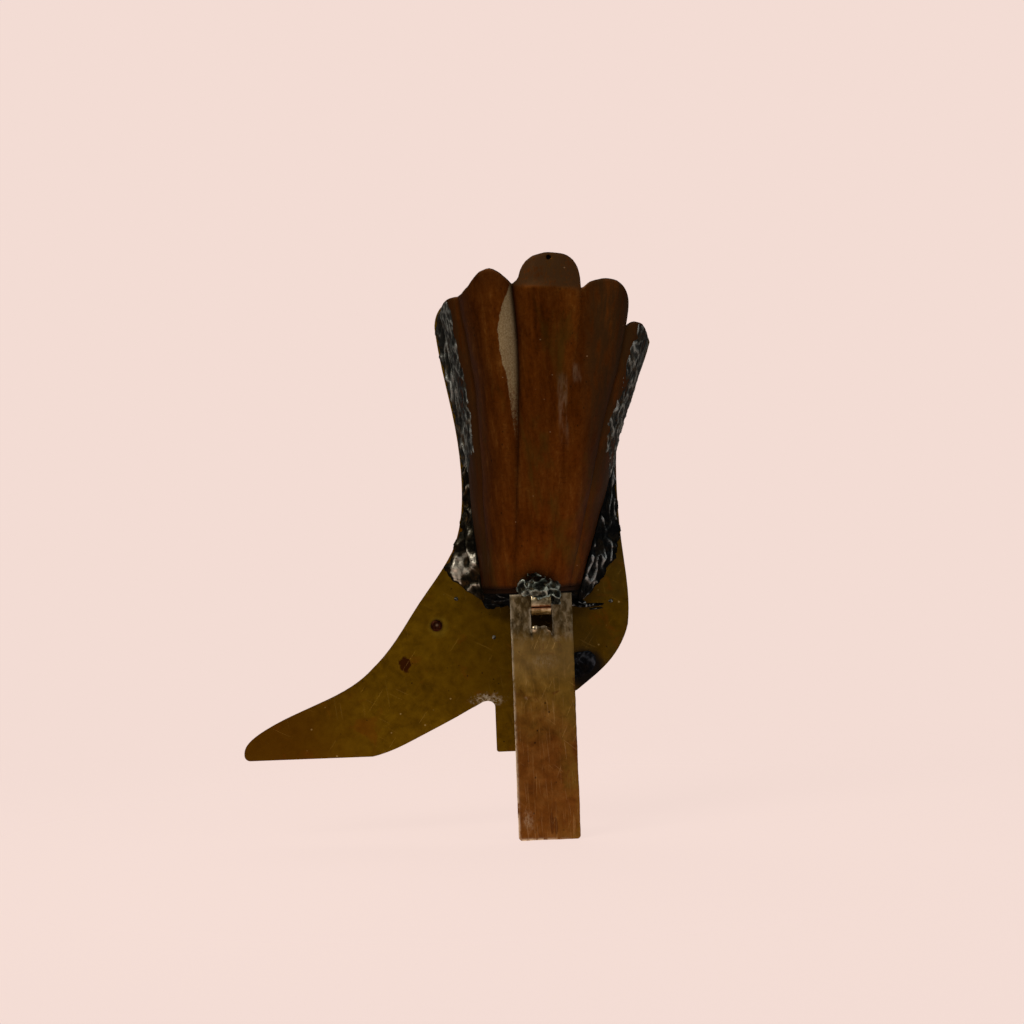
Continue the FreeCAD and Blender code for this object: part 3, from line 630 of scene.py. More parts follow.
# The lobed rim: direction in degrees from the heel side, and height.
RIM = (
    (0, 82.6), (5, 82.4), (10, 82.4), (15, 82.9), (20, 83.6), (25, 84.5), (30, 85.3), (35, 85.5),
    (38.5, 84.9), (40, 84.4), (41, 87.0), (42.5, 88.8), (44.2, 90.0), (48.4, 91.6), (52.6, 92.7),
    (56.8, 93.4), (60.9, 93.6), (65.1, 93.4), (69.3, 92.9), (73.5, 91.9), (74.4, 93.9), (76.2, 96.0),
    (80.0, 97.8), (85.0, 98.6), (91.0, 98.8), (96.3, 98.4), (100.5, 97.4), (103.6, 95.9), (105.6, 94.2),
    (107.4, 93.6), (110, 93.3), (112.2, 94.3), (115.2, 95.5), (119.5, 96.4), (124.2, 96.0),
    (129.0, 94.9), (133.8, 93.4), (138.5, 92.5), (143.2, 92.0), (148, 91.9), (152, 91.8), (156, 91.4),
    (160, 90.9), (164, 90.2), (168, 89.6), (172, 89.0), (176, 88.5), (180, 88.0),
)
# How sharply each crease is pinched in.
CREASE_DEPTHS = np.array([0.0, 0.6, 0.12, 1.0, 0.8, 0.0])
COPPER_THICK = 0.8
# How far the middle lobe leans towards the plate.
TIP_BEND = math.radians(5.0)


def cubic(places, values, slopes, place):
    """The cubic between neighbouring values that keeps the slope given at each."""
    i = np.clip(np.searchsorted(places, place) - 1, 0, len(places) - 2)
    span = places[i + 1] - places[i]
    t = clamp01((place - places[i]) / span)
    start = (2 * t**3 - 3 * t**2 + 1) * values[i] + (t**3 - 2 * t**2 + t) * span * slopes[i]
    end = (3 * t**2 - 2 * t**3) * values[i + 1] + (t**3 - t**2) * span * slopes[i + 1]
    return start + end


def along_height(heights, values, height):
    """A smooth curve through values at heights."""
    heights = np.asarray(heights, float)
    values = np.asarray(values, float)
    return cubic(heights, values, np.gradient(values, heights), height)


# Flutes, counted from the heel side.
MIDDLE_FLUTE, HIGHLIGHT_FLUTE, TOE_FLUTE = 2, 3, 4


def flute_share(direction):
    """Which flute a direction is in, and how far across it, 0 to 1."""
    index = np.clip(np.searchsorted(CREASES, direction, side="right") - 1, 0, len(CREASES) - 2)
    share = (direction - CREASES[index]) / (CREASES[index + 1] - CREASES[index])
    return index, clamp01(share)


def pocket_wall(direction, height, inset=0.0):
    """Points of the pocket's fluted wall: direction in degrees from the heel side."""
    toe = along_height(SECTION_HEIGHTS, TOE_EDGES, height)
    heel = along_height(SECTION_HEIGHTS, HEEL_EDGES, height)
    depth = along_height(SECTION_HEIGHTS, DEPTHS, height)
    swell = along_height(SECTION_HEIGHTS, SWELLS, height)
    pinch = along_height(SECTION_HEIGHTS, PINCHES, height)
    index, share = flute_share(direction)
    radius = (heel - toe) / 2
    gap = np.minimum(share, 1 - share) * np.radians(CREASES[index + 1] - CREASES[index]) * radius
    depth_of_crease = CREASE_DEPTHS[index + (share > 0.5)]
    swell = swell * 4 * share * (1 - share) - pinch * np.exp(-gap / 0.9) * depth_of_crease
    # Above its bend the middle lobe is flatter than its flute.
    hump = share * (1 - share) * 4
    tip = (index == MIDDLE_FLUTE) * ease(92.0, 93.6, height)
    swell = swell * (1 - 0.45 * tip * hump)
    angle = np.radians(direction)
    x = (toe + heel) / 2 + (radius - inset + swell) * np.cos(angle)
    y = BACK - (depth - inset + swell) * np.sin(angle)
    above_bend = np.maximum(0.0, height - (93.0 - 0.08 * (x - 1.5)))
    y = y + (index == MIDDLE_FLUTE) * hump**0.5 * above_bend * math.tan(TIP_BEND)
    return np.stack([x, np.minimum(y, BACK), height + 0 * x], axis=-1)


# The middle of the pocket's rim.
POCKET_X = 7.0


def worked_wall(direction, height, inset=0.0):
    """The pocket's wall with its hand-made waves, which fade at the plate and at the floor."""
    direction = np.asarray(direction, float)
    points = pocket_wall(direction, height, inset)
    skin = pocket_wall(direction, height)
    outward = points - np.array([POCKET_X, BACK, 0])
    outward[:, 2] = 0
    outward /= np.maximum(np.linalg.norm(outward, axis=1, keepdims=True), 1e-6)
    free = ease(0.0, 4.0, BACK - skin[:, 1]) * ease(FLOOR_HIGH[2], FLOOR_HIGH[2] + 6.0, skin[:, 2])
    push = 0.22 * rough(skin, 0.09, 2, 1.0) + 0.10 * rough(skin * (1, 1, 0.4), 0.35, 3, 2.0)
    return points + outward * ((push - 0.14) * free)[:, None]


def rim_height(direction):
    """The height of the lobed rim in each direction: smooth, and level at its peaks and valleys."""
    directions, heights = np.array(RIM, float).T
    rises = np.diff(heights) / np.diff(directions)
    before, after = rises[:-1], rises[1:]
    slopes = np.zeros(len(heights))
    same_way = before * after > 0
    slopes[1:-1] = np.where(same_way, 2 * before * after / np.where(same_way, before + after, 1.0), 0.0)
    return cubic(directions, heights, slopes, np.asarray(direction, float))


def pocket_marks(points, direction, height, rim, outside):
    """Where the copper is creased or dull, and where it gets painted highlights and painted shade, for its
    material.
    """
    index, share = flute_share(direction)
    x = points[:, 0]
    radius = (
        along_height(SECTION_HEIGHTS, HEEL_EDGES, height)
        - along_height(SECTION_HEIGHTS, TOE_EDGES, height)
    ) / 2
    span = np.radians(CREASES[index + 1] - CREASES[index]) * radius
    gap = np.minimum(share, 1 - share) * span
    strength = ease(36.0, 80.0, height)
    sharpness = CREASE_DEPTHS[index + (share > 0.5)]
    crease = np.exp(-((gap / 0.5) ** 2)) * (0.25 + 0.75 * strength) * sharpness
    # Painted highlight: the bright strip on this flute's flank, below the rim.
    facet = (index == HIGHLIGHT_FLUTE) * (1 - ease(93.0, 93.8, height))
    # Painted highlights: two pale strips on the flanks of the crease on the heel side of the middle flute.
    pale = ease(9.4, 9.9, x) * (1 - ease(11.0, 11.6, x)) * ease(60, 66, height) * (1 - ease(74, 76, height))
    other = ease(12.4, 12.8, x) * (1 - ease(13.9, 14.3, x)) * ease(73, 74.5, height)
    pale = np.maximum(pale, other * (1 - ease(76.5, 77.5, height)))
    dull = np.maximum(0.82 * ease(12.5, 17.5, x), 0.75 * (index == TOE_FLUTE))
    dull = np.maximum(dull, 0.35 * (index == HIGHLIGHT_FLUTE) * ease(90.0, 96.0, height))
    tip = (index == MIDDLE_FLUTE) * ease(92.3, 93.1, height + 0.08 * (x - 1.5))
    # Painted shade round the hinge solder, along the floor and beside the plate.
    blob = np.exp(-(((x - 4.4) / 5.2) ** 2) - ((height - 34.2) / 2.6) ** 2)
    base = np.exp(-((height - FLOOR_HIGH[2]) / 0.8) ** 2) * 0.8
    sides = np.exp(-np.minimum(direction, 180 - direction) / 5.0) * (1 - ease(58.0, 70.0, height))
    painted_shade = np.maximum(np.maximum(blob, base), sides)
    edge = np.exp(-((rim - height) / 0.35) ** 2)
    marks = dict(crease=crease, facet=facet, pale=pale, dull=dull, tip=tip, painted_shade=painted_shade, edge=edge)
    for key in marks:
        marks[key] = np.where(outside, marks[key], 0.0)
    # Painted shade inside the pocket.
    marks["painted_shade"] = np.where(outside, marks["painted_shade"], 0.35)
    marks["edge"] = edge
    return marks


# The height of the sheet's rounded lip, in half thicknesses.
LIP_HEIGHT = 0.8


def make_pocket():
    """The copper sheet, outside and inside, with a rounded rim and hand-worked unevenness."""
    per_flute, rows = 30, 150
    turns = 0.5 - 0.5 * np.cos(np.pi * np.arange(per_flute) / per_flute)
    direction = np.concatenate(
        [start + (end - start) * turns for start, end in zip(CREASES, CREASES[1:])] + [CREASES[-1:]]
    )
    rim = rim_height(direction)
    rim = rim + 0.10 * rough(pocket_wall(direction, rim), 0.55, 3, 3.0)
    half = COPPER_THICK / 2
    low = FLOOR_HIGH[2]
    levels = np.linspace(0, 1, rows)
    lip = np.radians(np.arange(20, 180, 20))
    layers = []
    top = rim - half * LIP_HEIGHT
    for level in levels:
        layers.append((low + (top - low) * level, 0.0, True))
    for angle in lip:
        layers.append((rim - half * LIP_HEIGHT * (1 - math.sin(angle)), half * (1 - math.cos(angle)), True))
    for level in reversed(levels):
        layers.append((low + (top - low) * level, COPPER_THICK, False))
    columns = len(direction)
    points, marks = [], []
    for height, inset, outside in layers:
        row = worked_wall(direction, height, inset)
        points.append(row)
        marks.append(pocket_marks(row, direction, height, rim, np.full(columns, outside)))
    values = {key: np.concatenate([mark[key] for mark in marks]) for key in marks[0]}
    faces = sheet_faces(len(layers), columns)
    return mesh_piece("copper_pocket", np.concatenate(points), faces, copper_look(), values)


# The hole near the tip of the middle lobe.
HOLE_X, HOLE_Z = 8.6, 97.8


def drill_rim_hole(pocket):
    """The small hole near the tip of the middle lobe; the copper look paints shade inside it."""
    skin_y = worked_wall([91.0], np.array([HOLE_Z]))[0, 1]
    cutter_mesh = bpy.data.meshes.new("drill")
    builder = bmesh.new()
    bmesh.ops.create_cone(
        builder, cap_ends=True, segments=20, radius1=0.42 * MM, radius2=0.36 * MM, depth=4 * MM
    )
    builder.to_mesh(cutter_mesh)
    builder.free()
    cutter = new_object("drill", cutter_mesh)
    middle = Vector((HOLE_X, skin_y + 0.6 - 2.0, HOLE_Z)) * MM
    cutter.matrix_world = Matrix.Translation(middle) @ Matrix.Rotation(math.radians(90), 4, "X")
    bpy.context.view_layer.update()
    cut = pocket.modifiers.new("hole", "BOOLEAN")
    cut.operation = "DIFFERENCE"
    cut.solver = "EXACT"
    cut.object = cutter
    bake_modifiers(pocket)
    bpy.data.objects.remove(cutter)


# ------------------------------------------------------------------ strut
# The slot: half its width, and its ends.
SLOT_HALF = 2.1
SLOT_TOP = HINGE_Z - 1.6
SLOT_LOW = SLOT_TOP - 3.7


def even_steps(stops, step):
    """Values about one step apart that meet every stop."""
    parts = [np.linspace(a, b, round((b - a) / step) + 1)[:-1] for a, b in zip(stops, stops[1:])]
    return np.concatenate(parts + [stops[-1:]])


def make_strut():
    """The slotted strip: slightly wavy, with hand-cut edges and burrs at the slot's lower corners."""
    half = (STRUT_HIGH[0] - STRUT_LOW[0]) / 2
    top, foot = STRUT_HIGH[2], STRUT_LOW[2]
    thick = STRUT_HIGH[1] - STRUT_LOW[1]
    step = 0.16
    xs = even_steps((-half, -SLOT_HALF, SLOT_HALF, half), step)
    zs = even_steps((foot, SLOT_LOW, SLOT_TOP, top), step)
    grid_x, grid_z = np.meshgrid(xs, zs)
    flat = np.stack([grid_x.ravel(), grid_z.ravel()], axis=1)
    x, z = flat.T
    # Distance to the nearest edge of the strip or of the slot.
    to_side = half - np.abs(x)
    to_end = np.minimum(z - foot, top - z)
    beside = np.maximum(np.abs(x) - SLOT_HALF, 0)
    above = np.maximum(np.maximum(z - SLOT_TOP, SLOT_LOW - z), 0)
    to_slot = np.hypot(beside, above)
    edge = np.exp(-(np.minimum(np.minimum(to_side, to_end), to_slot) / 0.32) ** 2)
    # The foot's corners are rounded off, and the sides are not quite straight.
    corner = 0.8
    in_corner = (to_side < corner) & (z - foot < corner)
    reach = np.stack([np.abs(x) - (half - corner), foot + corner - z], axis=1)
    longest = np.maximum(reach.max(axis=1), 1e-6)
    pull = np.where(in_corner, longest / np.maximum(np.linalg.norm(reach, axis=1), 1e-6), 1.0)
    x = np.where(in_corner, np.sign(x) * (half - corner + (np.abs(x) - half + corner) * pull), x)
    z = np.where(in_corner, foot + corner - (foot + corner - z) * pull, z)
    places = np.stack([x, 0 * x, z], axis=1)
    side = np.exp(-to_side / 0.5)
    x = x - np.sign(x) * side * (0.06 + 0.07 * rough(places, 0.30, 2, 5.0))
    z = z + np.exp(-(z - foot) / 0.5) * (0.06 + 0.06 * rough(places, 0.30, 2, 6.0))
    # The slot was nibbled: its lower edge rises in the middle and is cut deeper at both corners.
    near_low = np.exp(-(((z - SLOT_LOW) / 1.2) ** 2)) * (z <= SLOT_LOW + 0.01)
    tongue = 0.50 * (1 - ease(1.0, 1.7, np.abs(x))) - 0.10 * x + 0.12 * np.sin(3.1 * x)
    corner_cut = -np.where(x < 0, 0.80, 1.05) * np.exp(-(((np.abs(x) - SLOT_HALF + 0.08) / 0.24) ** 2))
    z = z + near_low * (tongue * (np.abs(x) < SLOT_HALF) + corner_cut)
    burr_x = np.abs(x) - SLOT_HALF + 0.62
    burr = np.exp(-(burr_x**2 / 0.10) - (z - SLOT_LOW - 0.05) ** 2 / 0.22)
    # Painted shade goes in the notches below the slot's corners and round the slot's edges.
    notch = np.exp(-(((np.abs(x) - SLOT_HALF) / 0.42) ** 2) - ((z - SLOT_LOW + 1.0) / 0.75) ** 2)
    notch = np.maximum(notch, 0.8 * np.exp(-((to_slot / 0.35) ** 2)) * (z < SLOT_TOP - 1.0))
    bow = 0.10 * np.sin(np.pi * (z - foot) / (top - foot))
    y = -bow - 0.30 * burr + 0.05 * rough(places, 0.14, 2, 7.0) + 0.02 * rough(places, 0.8, 3, 8.0)
    y = y * np.maximum(1 - ease(SLOT_TOP - 6.0, SLOT_TOP - 1.0, z), burr)
    points = np.stack([STRUT_X + x, HINGE_Y + np.clip(y, -0.35, 0.1), z], axis=1)
    across = len(xs)
    faces = []
    for r in range(len(zs) - 1):
        for c in range(across - 1):
            in_slot = SLOT_LOW <= (zs[r] + zs[r + 1]) / 2 <= SLOT_TOP
            in_slot = in_slot and abs(xs[c] + xs[c + 1]) / 2 <= SLOT_HALF
            if not in_slot:
                a = r * across + c
                faces.append((a, a + 1, a + across + 1, a + across))
    marks = {"edge": np.maximum(edge, burr), "painted_shade": notch * (1 - burr)}
    piece = mesh_piece("strut_strip", points, faces, strut_look(), marks)
    loose = bmesh.new()
    loose.from_mesh(piece.data)
    bmesh.ops.delete(loose, geom=[v for v in loose.verts if not v.link_faces], context="VERTS")
    loose.to_mesh(piece.data)
    loose.free()
    sheet = piece.modifiers.new("thickness", "SOLIDIFY")
    sheet.thickness = (thick - 0.02) * MM
    sheet.offset = 0.0
    bevel_edges(piece, 0.14, 50)
    return bake_modifiers(piece)


# ------------------------------------------------------------------ solder
def crests(points, scale, seed, stretch=(1, 1, 1)):
    """Lumpy height of set solder, about 0 to 1: sharp crests over soft lumps."""
    points = np.asarray(points) * stretch
    sharp = clamp01(ridged(points, scale, seed)) ** 3
    soft = clamp01(0.5 + 0.6 * rough(points, scale * 0.6, 3, seed + 3.0))
    fine = rough(points, scale * 2.7, 3, seed + 6.0)
    return clamp01(0.38 * soft + 0.95 * sharp * (0.25 + 0.75 * soft) + 0.18 * fine)


# Directions: off the plate's back, and over it.
OFF_PLATE = (0, -1, 0)
TOEWARD = (-1, 0, 0)
HEELWARD = (1, 0, 0)
DOWNWARD = (0, 0, -1)


def make_fillet(
    name, material, corners, out, widths, heights, curve, lump, scale, seed, stretch, pit=None
):
    """A solder run along an inner corner of the plate's back.

    out: the way it spreads over the plate. curve: 2 is hollow, 1 flat, 0.5 full.
    """
    per_ring = 30
    corners = np.asarray(corners, float)
    out, off = np.array(out, float), np.array(OFF_PLATE, float)
    count = len(corners)
    along = np.arange(count) / (count - 1)
    taper = clamp01(np.minimum(along, 1 - along) * count / 9.0)
    taper = np.sqrt(1 - (1 - taper) ** 2)
    ragged = 1 + 0.16 * rough(corners, 0.55, 4, seed + 7.0)
    widths = np.asarray(widths) * ragged * (0.15 + 0.85 * taper)
    climb = 1 + 0.22 * rough(corners, 0.45, 4, seed + 9.0)
    heights = np.asarray(heights) * climb * (0.15 + 0.85 * taper)
    t = np.linspace(0, 1, per_ring)
    points, crest = [], []
    for corner, width, height, end in zip(corners, widths, heights, taper):
        surface = corner + np.outer((1 - t) ** curve * width, out) + np.outer(t**curve * height, off)
        bumps = crests(surface, scale, seed, stretch)
        swell = lump * (bumps - 0.35) * np.sin(np.pi * clamp01(t * 0.96 + 0.02)) ** 0.45 * end
        if pit is not None:
            hollow = pit(surface)
            swell = swell * (1 - 0.8 * hollow) - 0.75 * hollow
            # The pit's rim gets high crests: a painted highlight ring round the pit.
            bumps = clamp01(bumps * (1 - hollow) + 2.6 * hollow * (1 - hollow))
        blend = np.outer(1 - t, off) + np.outer(t, out)
        blend = blend + 0.6 * (out + off)
        blend /= np.linalg.norm(blend, axis=1, keepdims=True)
        surface = surface + blend * swell[:, None]
        surface[0] -= off * 0.08
        hidden = [
            corner - out * 0.45 + off * height * 0.6,
            corner - out * 0.45 - off * 0.25,
            corner + out * width * 0.8 - off * 0.25,
        ]
        points.extend(surface)
        points.extend(hidden)
        crest.extend(bumps * ease(0.0, 0.14, t) * (1 - ease(0.88, 1.0, t)))
        crest.extend([0.0] * 3)
    faces = ring_faces(count, per_ring + 3)
    return mesh_piece(name, points, faces, material, {"crest": crest})


def puddle_mesh(middle, radii, height, seed, turn=0.0, ragged=0.18):
    """Points, faces and crests of a drop of solder set on the plate."""
    rings, around = 12, 40
    angle = 2 * np.pi * np.arange(around) / around
    circle = np.stack([np.cos(angle), 0 * angle, np.sin(angle)], axis=1)
    wander = 1 + ragged * rough(circle * 2.0 + seed * 3.1, 0.8, 3, seed)
    points, crest = [], []
    for ring in range(rings + 1):
        share = 1 - ring / (rings + 1)
        x = circle[:, 0] * wander * radii[0] * share
        z = circle[:, 2] * wander * radii[1] * share
        across = x * math.cos(turn) - z * math.sin(turn)
        up = x * math.sin(turn) + z * math.cos(turn)
        flat = np.stack([across, 0 * x, up], axis=1)
        place = flat + np.array([middle[0], BACK, middle[1]])
        bumps = crests(place, 1.1 / max(0.6, min(radii)) ** 0.5, seed)
        rise = height * (1 - share**2) ** 0.5 * (0.75 + 0.5 * bumps)
        place[:, 1] = BACK - rise + 0.03 * (ring == 0)
        points.append(place)
        crest.append(bumps)
    bottom = points[0].copy()
    bottom[:, 1] = BACK + 0.2
    points.insert(0, bottom)
    crest.insert(0, np.zeros(around))
    return np.concatenate(points), ring_faces(rings + 2, around), np.concatenate(crest)


def make_puddles(name, material, puddles):
    """Several drops as one piece. Each: middle, radii, height, seed, and perhaps turn and raggedness."""
    points, faces, crest = [], [], []
    for puddle in puddles:
        start = len(points)
        p, f, c = puddle_mesh(*puddle)
        points.extend(p)
        faces.extend(tuple(start + corner for corner in face) for face in f)
        crest.extend(c)
    return mesh_piece(name, points, faces, material, {"crest": crest})


def plate_edges(heights):
    """The plate's outline: its lowest and highest X at each height."""
    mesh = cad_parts["boot_plate"].data
    corners = np.array([v.co for v in mesh.vertices]) / MM
    ends = corners[np.array([e.vertices[:] for e in mesh.edges])]
    low, high = [], []
    for height in heights:
        rise = ends[:, 1, 2] - ends[:, 0, 2]
        share = (height - ends[:, 0, 2]) / np.where(np.abs(rise) < 1e-9, 1.0, rise)
        met = (share >= 0) & (share <= 1) & (np.abs(rise) > 1e-9)
        x = ends[met, 0, 0] + share[met] * (ends[met, 1, 0] - ends[met, 0, 0])
        low.append(x.min())
        high.append(x.max())
    return np.array(low), np.array(high)


def toe_edge(height):
    return along_height(SECTION_HEIGHTS, TOE_EDGES, np.asarray(height, float))


def heel_edge(height):
    return along_height(SECTION_HEIGHTS, HEEL_EDGES, np.asarray(height, float))


def side_corners(edge, low, high, step=0.22):
    """Points up the inner corner between the plate and one side of the pocket."""
    height = np.arange(low, high, step)
    return np.stack([edge(height), 0 * height + BACK, height], axis=1), height


def make_toe_side_solder(lower_metal, upper_metal):
    """The two runs up the toe side: a wide glossy one below, a narrow one above."""
    corners, height = side_corners(toe_edge, 30.8, 59.0)
    outline_heights = (30.8, 32.1, 33.5, 35.0, 37.0, 38.6, 41.0, 45.0)
    outline = (-7.6, -8.9, -10.8, -13.0, -14.2, -14.6, -14.8, -16.0)
    limit = np.maximum(plate_edges(height)[0] + 0.15, np.interp(height, outline_heights, outline))
    width = corners[:, 0] - limit
    off_plate = np.interp(height, (30.8, 38.0, 46.0, 59.0), (1.4, 2.1, 2.0, 1.6))

    def pit(places):
        across = (places[:, 0] + 10.3) / 1.0
        up = (places[:, 2] - 38.6) / 1.9
        return np.exp(-((across**2 + up**2) ** 1.2))

    lower = make_fillet(
        "solder_toe_lower", lower_metal, corners, TOEWARD, width, off_plate,
        curve=1.25, lump=0.80, scale=0.50, seed=2.0, stretch=(1, 1, 0.50), pit=pit,
    )
    corners, height = side_corners(toe_edge, 57.6, 90.2)
    width = corners[:, 0] - plate_edges(height)[0] - 0.15
    off_plate = np.interp(height, (57.6, 70.0, 80.0, 90.2), (1.7, 2.3, 3.0, 2.5))
    upper = make_fillet(
        "solder_toe_upper", upper_metal, corners, TOEWARD, width, off_plate,
        curve=1.2, lump=0.55, scale=0.62, seed=5.0, stretch=(1, 1, 0.35),
    )
    return lower, upper


def make_heel_side_solder(metal):
    """The wide dark run up the heel side of the pocket's narrow half."""
    corners, height = side_corners(heel_edge, 30.1, 62.0)
    outline_heights = (30.1, 32.5, 33.6, 35.2, 38.3, 41.5, 45.0, 62.0)
    outline = (14.0, 15.5, 16.8, 18.2, 20.0, 21.3, 23.0, 30.0)
    limit = np.minimum(plate_edges(height)[1] - 0.15, np.interp(height, outline_heights, outline))
    width = np.maximum(limit - corners[:, 0], 0.4)
    off_plate = np.interp(height, (30.1, 33.0, 40.0, 52.0, 62.0), (1.0, 2.0, 2.7, 2.4, 1.8))
    return make_fillet(
        "solder_heel_lower", metal, corners, HEELWARD, width, off_plate,
        curve=1.15, lump=0.80, scale=0.66, seed=8.0, stretch=(1, 1, 0.38),
    )


def make_floor_seam(metal):
    """Solder under the pocket's floor, from side to side."""
    x = np.arange(-7.4, 13.4, 0.22)
    corners = np.stack([x, 0 * x + BACK, 0 * x + FLOOR_LOW[2]], axis=1)
    down = 2.9 + 0.45 * np.sin(x * 0.9 + 1.0) + 0.5 * np.exp(-(((x + 3.0) / 2.5) ** 2))
    return make_fillet(
        "solder_floor", metal, corners, DOWNWARD, down, 0 * x + 2.0,
        curve=1.2, lump=0.6, scale=0.6, seed=11.0, stretch=(0.5, 1, 1),
    )


def make_skin(name, metal, directions, low, seed):
    """A rough skin of solder over an outermost flute: from the plate to a ragged limit, in degrees."""
    start, limit, end = directions
    direction = np.linspace(min(start, end), max(start, end), 90)
    from_plate = np.abs(direction - start)
    rim = rim_height(direction)
    rows = 130
    outer, inner, crest = [], [], []
    for level in np.linspace(0, 1, rows):
        height = low + (rim - 0.35 - low) * level
        wall = worked_wall(direction, height)
        lift = worked_wall(direction, height, -1.0) - wall
        bumps = crests(wall, 0.95, seed, (1, 1, 0.5))
        spread = rough(wall * (1, 1, 0.5), 0.40, 4, seed + 1.0)
        cover = ease(0.0, 0.25, 0.22 + 0.32 * spread - 0.09 * (from_plate - abs(limit - start)))
        lower_limit = low + 2.0 + 4.0 * spread + 0.22 * from_plate
        cover = cover * ease(lower_limit, lower_limit + 0.8, height) * ease(0.0, 0.8, rim - height)
        outer.append(wall + lift * ((0.34 * bumps + 0.06) * cover - 0.10)[:, None])
        inner.append(worked_wall(direction, height, 0.3))
        crest.append(bumps)
    points = np.concatenate(outer + inner[::-1])
    faces = sheet_faces(2 * rows, len(direction))
    return mesh_piece(name, points, faces, metal, {"crest": np.concatenate(crest + crest[::-1])})


# Room round the hinge's axis for what turns there, and above the strip when the strut is open.
CLEAR_OF_LOOP = 2.64
CLEAR_OF_BAR = 2.08
CLEAR_OF_STRIP = 0.85


def make_hinge_solder(metal):
    """The lump that holds the hinge's loop to the pocket, rounded, pitted and crested."""
    lumps = (
        ((4.3, -10.7, 33.2), (4.3, 2.9, 2.3)),
        ((2.3, -11.5, 33.4), (2.1, 2.2, 2.3)),
        ((6.4, -11.3, 33.0), (2.3, 2.3, 2.1)),
        ((4.4, -12.2, 34.2), (2.0, 1.6, 1.6)),
        ((3.4, -10.0, 35.2), (1.9, 1.5, 1.3)),
        ((7.6, -13.0, 31.4), (0.95, 1.2, 1.6)),
        ((4.2, -13.0, 33.1), (2.6, 1.6, 1.9)),
    )
    builder = bmesh.new()
    for middle, radii in lumps:
        place = Matrix.Translation(Vector(middle)) @ Matrix.Diagonal(Vector((*radii, 1.0)))
        bmesh.ops.create_icosphere(builder, subdivisions=4, radius=1.0, matrix=place)
    mesh = bpy.data.meshes.new("solder_hinge")
    builder.to_mesh(mesh)
    builder.free()
    mesh.transform(Matrix.Scale(MM, 4))
    piece = new_object("solder_hinge", mesh)
    joined = piece.modifiers.new("joined", "REMESH")
    joined.mode = "VOXEL"
    joined.voxel_size = 0.13 * MM
    settle = piece.modifiers.new("settle", "SMOOTH")
    settle.iterations = 6
    bake_modifiers(piece)
    points = np.array([v.co for v in piece.data.vertices]) / MM
    normals = np.array([v.normal for v in piece.data.vertices])
    bumps = crests(points, 0.62, 21.0)
    points = points + normals * (0.55 * (bumps - 0.35))[:, None]
    # The turning bar and the loop stay clear of it.
    radial = points[:, 1:] - np.array([HINGE_Y, HINGE_Z])
    reach = np.linalg.norm(radial, axis=1)
    clear = np.where(np.abs(points[:, 0] - STRUT_X) < SLOT_HALF, CLEAR_OF_LOOP, CLEAR_OF_BAR)
    pushed = np.maximum(reach, clear)
    # Nothing of it reaches below the strip when the strut is open.
    turn = np.arctan2(-radial[:, 0], -radial[:, 1])
    lowest = OPEN_ANGLE + np.arcsin(CLEAR_OF_STRIP / pushed)
    turn = np.where((turn > 0) & (turn < lowest), lowest, turn)
    points[:, 1] = HINGE_Y - pushed * np.sin(turn)
    points[:, 2] = HINGE_Z - pushed * np.cos(turn)
    for vertex, point in zip(piece.data.vertices, points):
        vertex.co = point * MM
    layer = piece.data.attributes.new("crest", "FLOAT", "POINT")
    layer.data.foreach_set("value", bumps.astype(np.float32))
    piece.data.materials.clear()
    piece.data.materials.append(metal)
    piece.data.shade_smooth()
    return piece


# ------------------------------------------------------------------ the object
def place(piece, body, slot, *nodes):
    """Binds a piece to its body and hides the CAD nodes it stands for; slot is not used."""
    if nodes:
        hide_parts(*nodes)
    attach(piece, body)


def coat(node, material, width):
    """Gives a CAD node its material and softer edges."""
    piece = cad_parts[node]
    for material_slot in piece.material_slots:
        material_slot.material = material
    weld = piece.modifiers.new("weld", "WELD")
    weld.merge_threshold = 0.001 * MM
    bevel_edges(piece, width, 35).harden_normals = True


GREY = solder_look(
    "solder_brown_grey",
    dark=(0.020, 0.019, 0.016), middle=(0.074, 0.072, 0.061), bright=(0.290, 0.285, 0.250),
    gloss=0.34, places=(0.30, 0.44, 0.66),
)
BRIGHT = solder_look(
    "solder_bright",
    dark=(0.0075, 0.0062, 0.0040), middle=(0.040, 0.033, 0.020), bright=(0.560, 0.500, 0.390),
    gloss=0.20, places=(0.38, 0.55, 0.77),
)
DARK = solder_look(
    "solder_dark",
    dark=(0.0036, 0.0038, 0.0038), middle=(0.014, 0.0155, 0.0150), bright=(0.300, 0.300, 0.280),
    gloss=0.24, places=(0.36, 0.52, 0.74),
)
OLIVE = solder_look(
    "solder_olive_grey",
    dark=(0.008, 0.0080, 0.006), middle=(0.046, 0.050, 0.038), bright=(0.310, 0.325, 0.265),
    gloss=0.24, places=(0.32, 0.46, 0.68),
)
# Near-black solder for the dark patch by the heel.
NEAR_BLACK = solder_look(
    "solder_near_black",
    dark=(0.0045, 0.0047, 0.0052), middle=(0.011, 0.0118, 0.0140), bright=(0.052, 0.055, 0.063),
    gloss=0.34, places=(0.30, 0.50, 0.75),
)

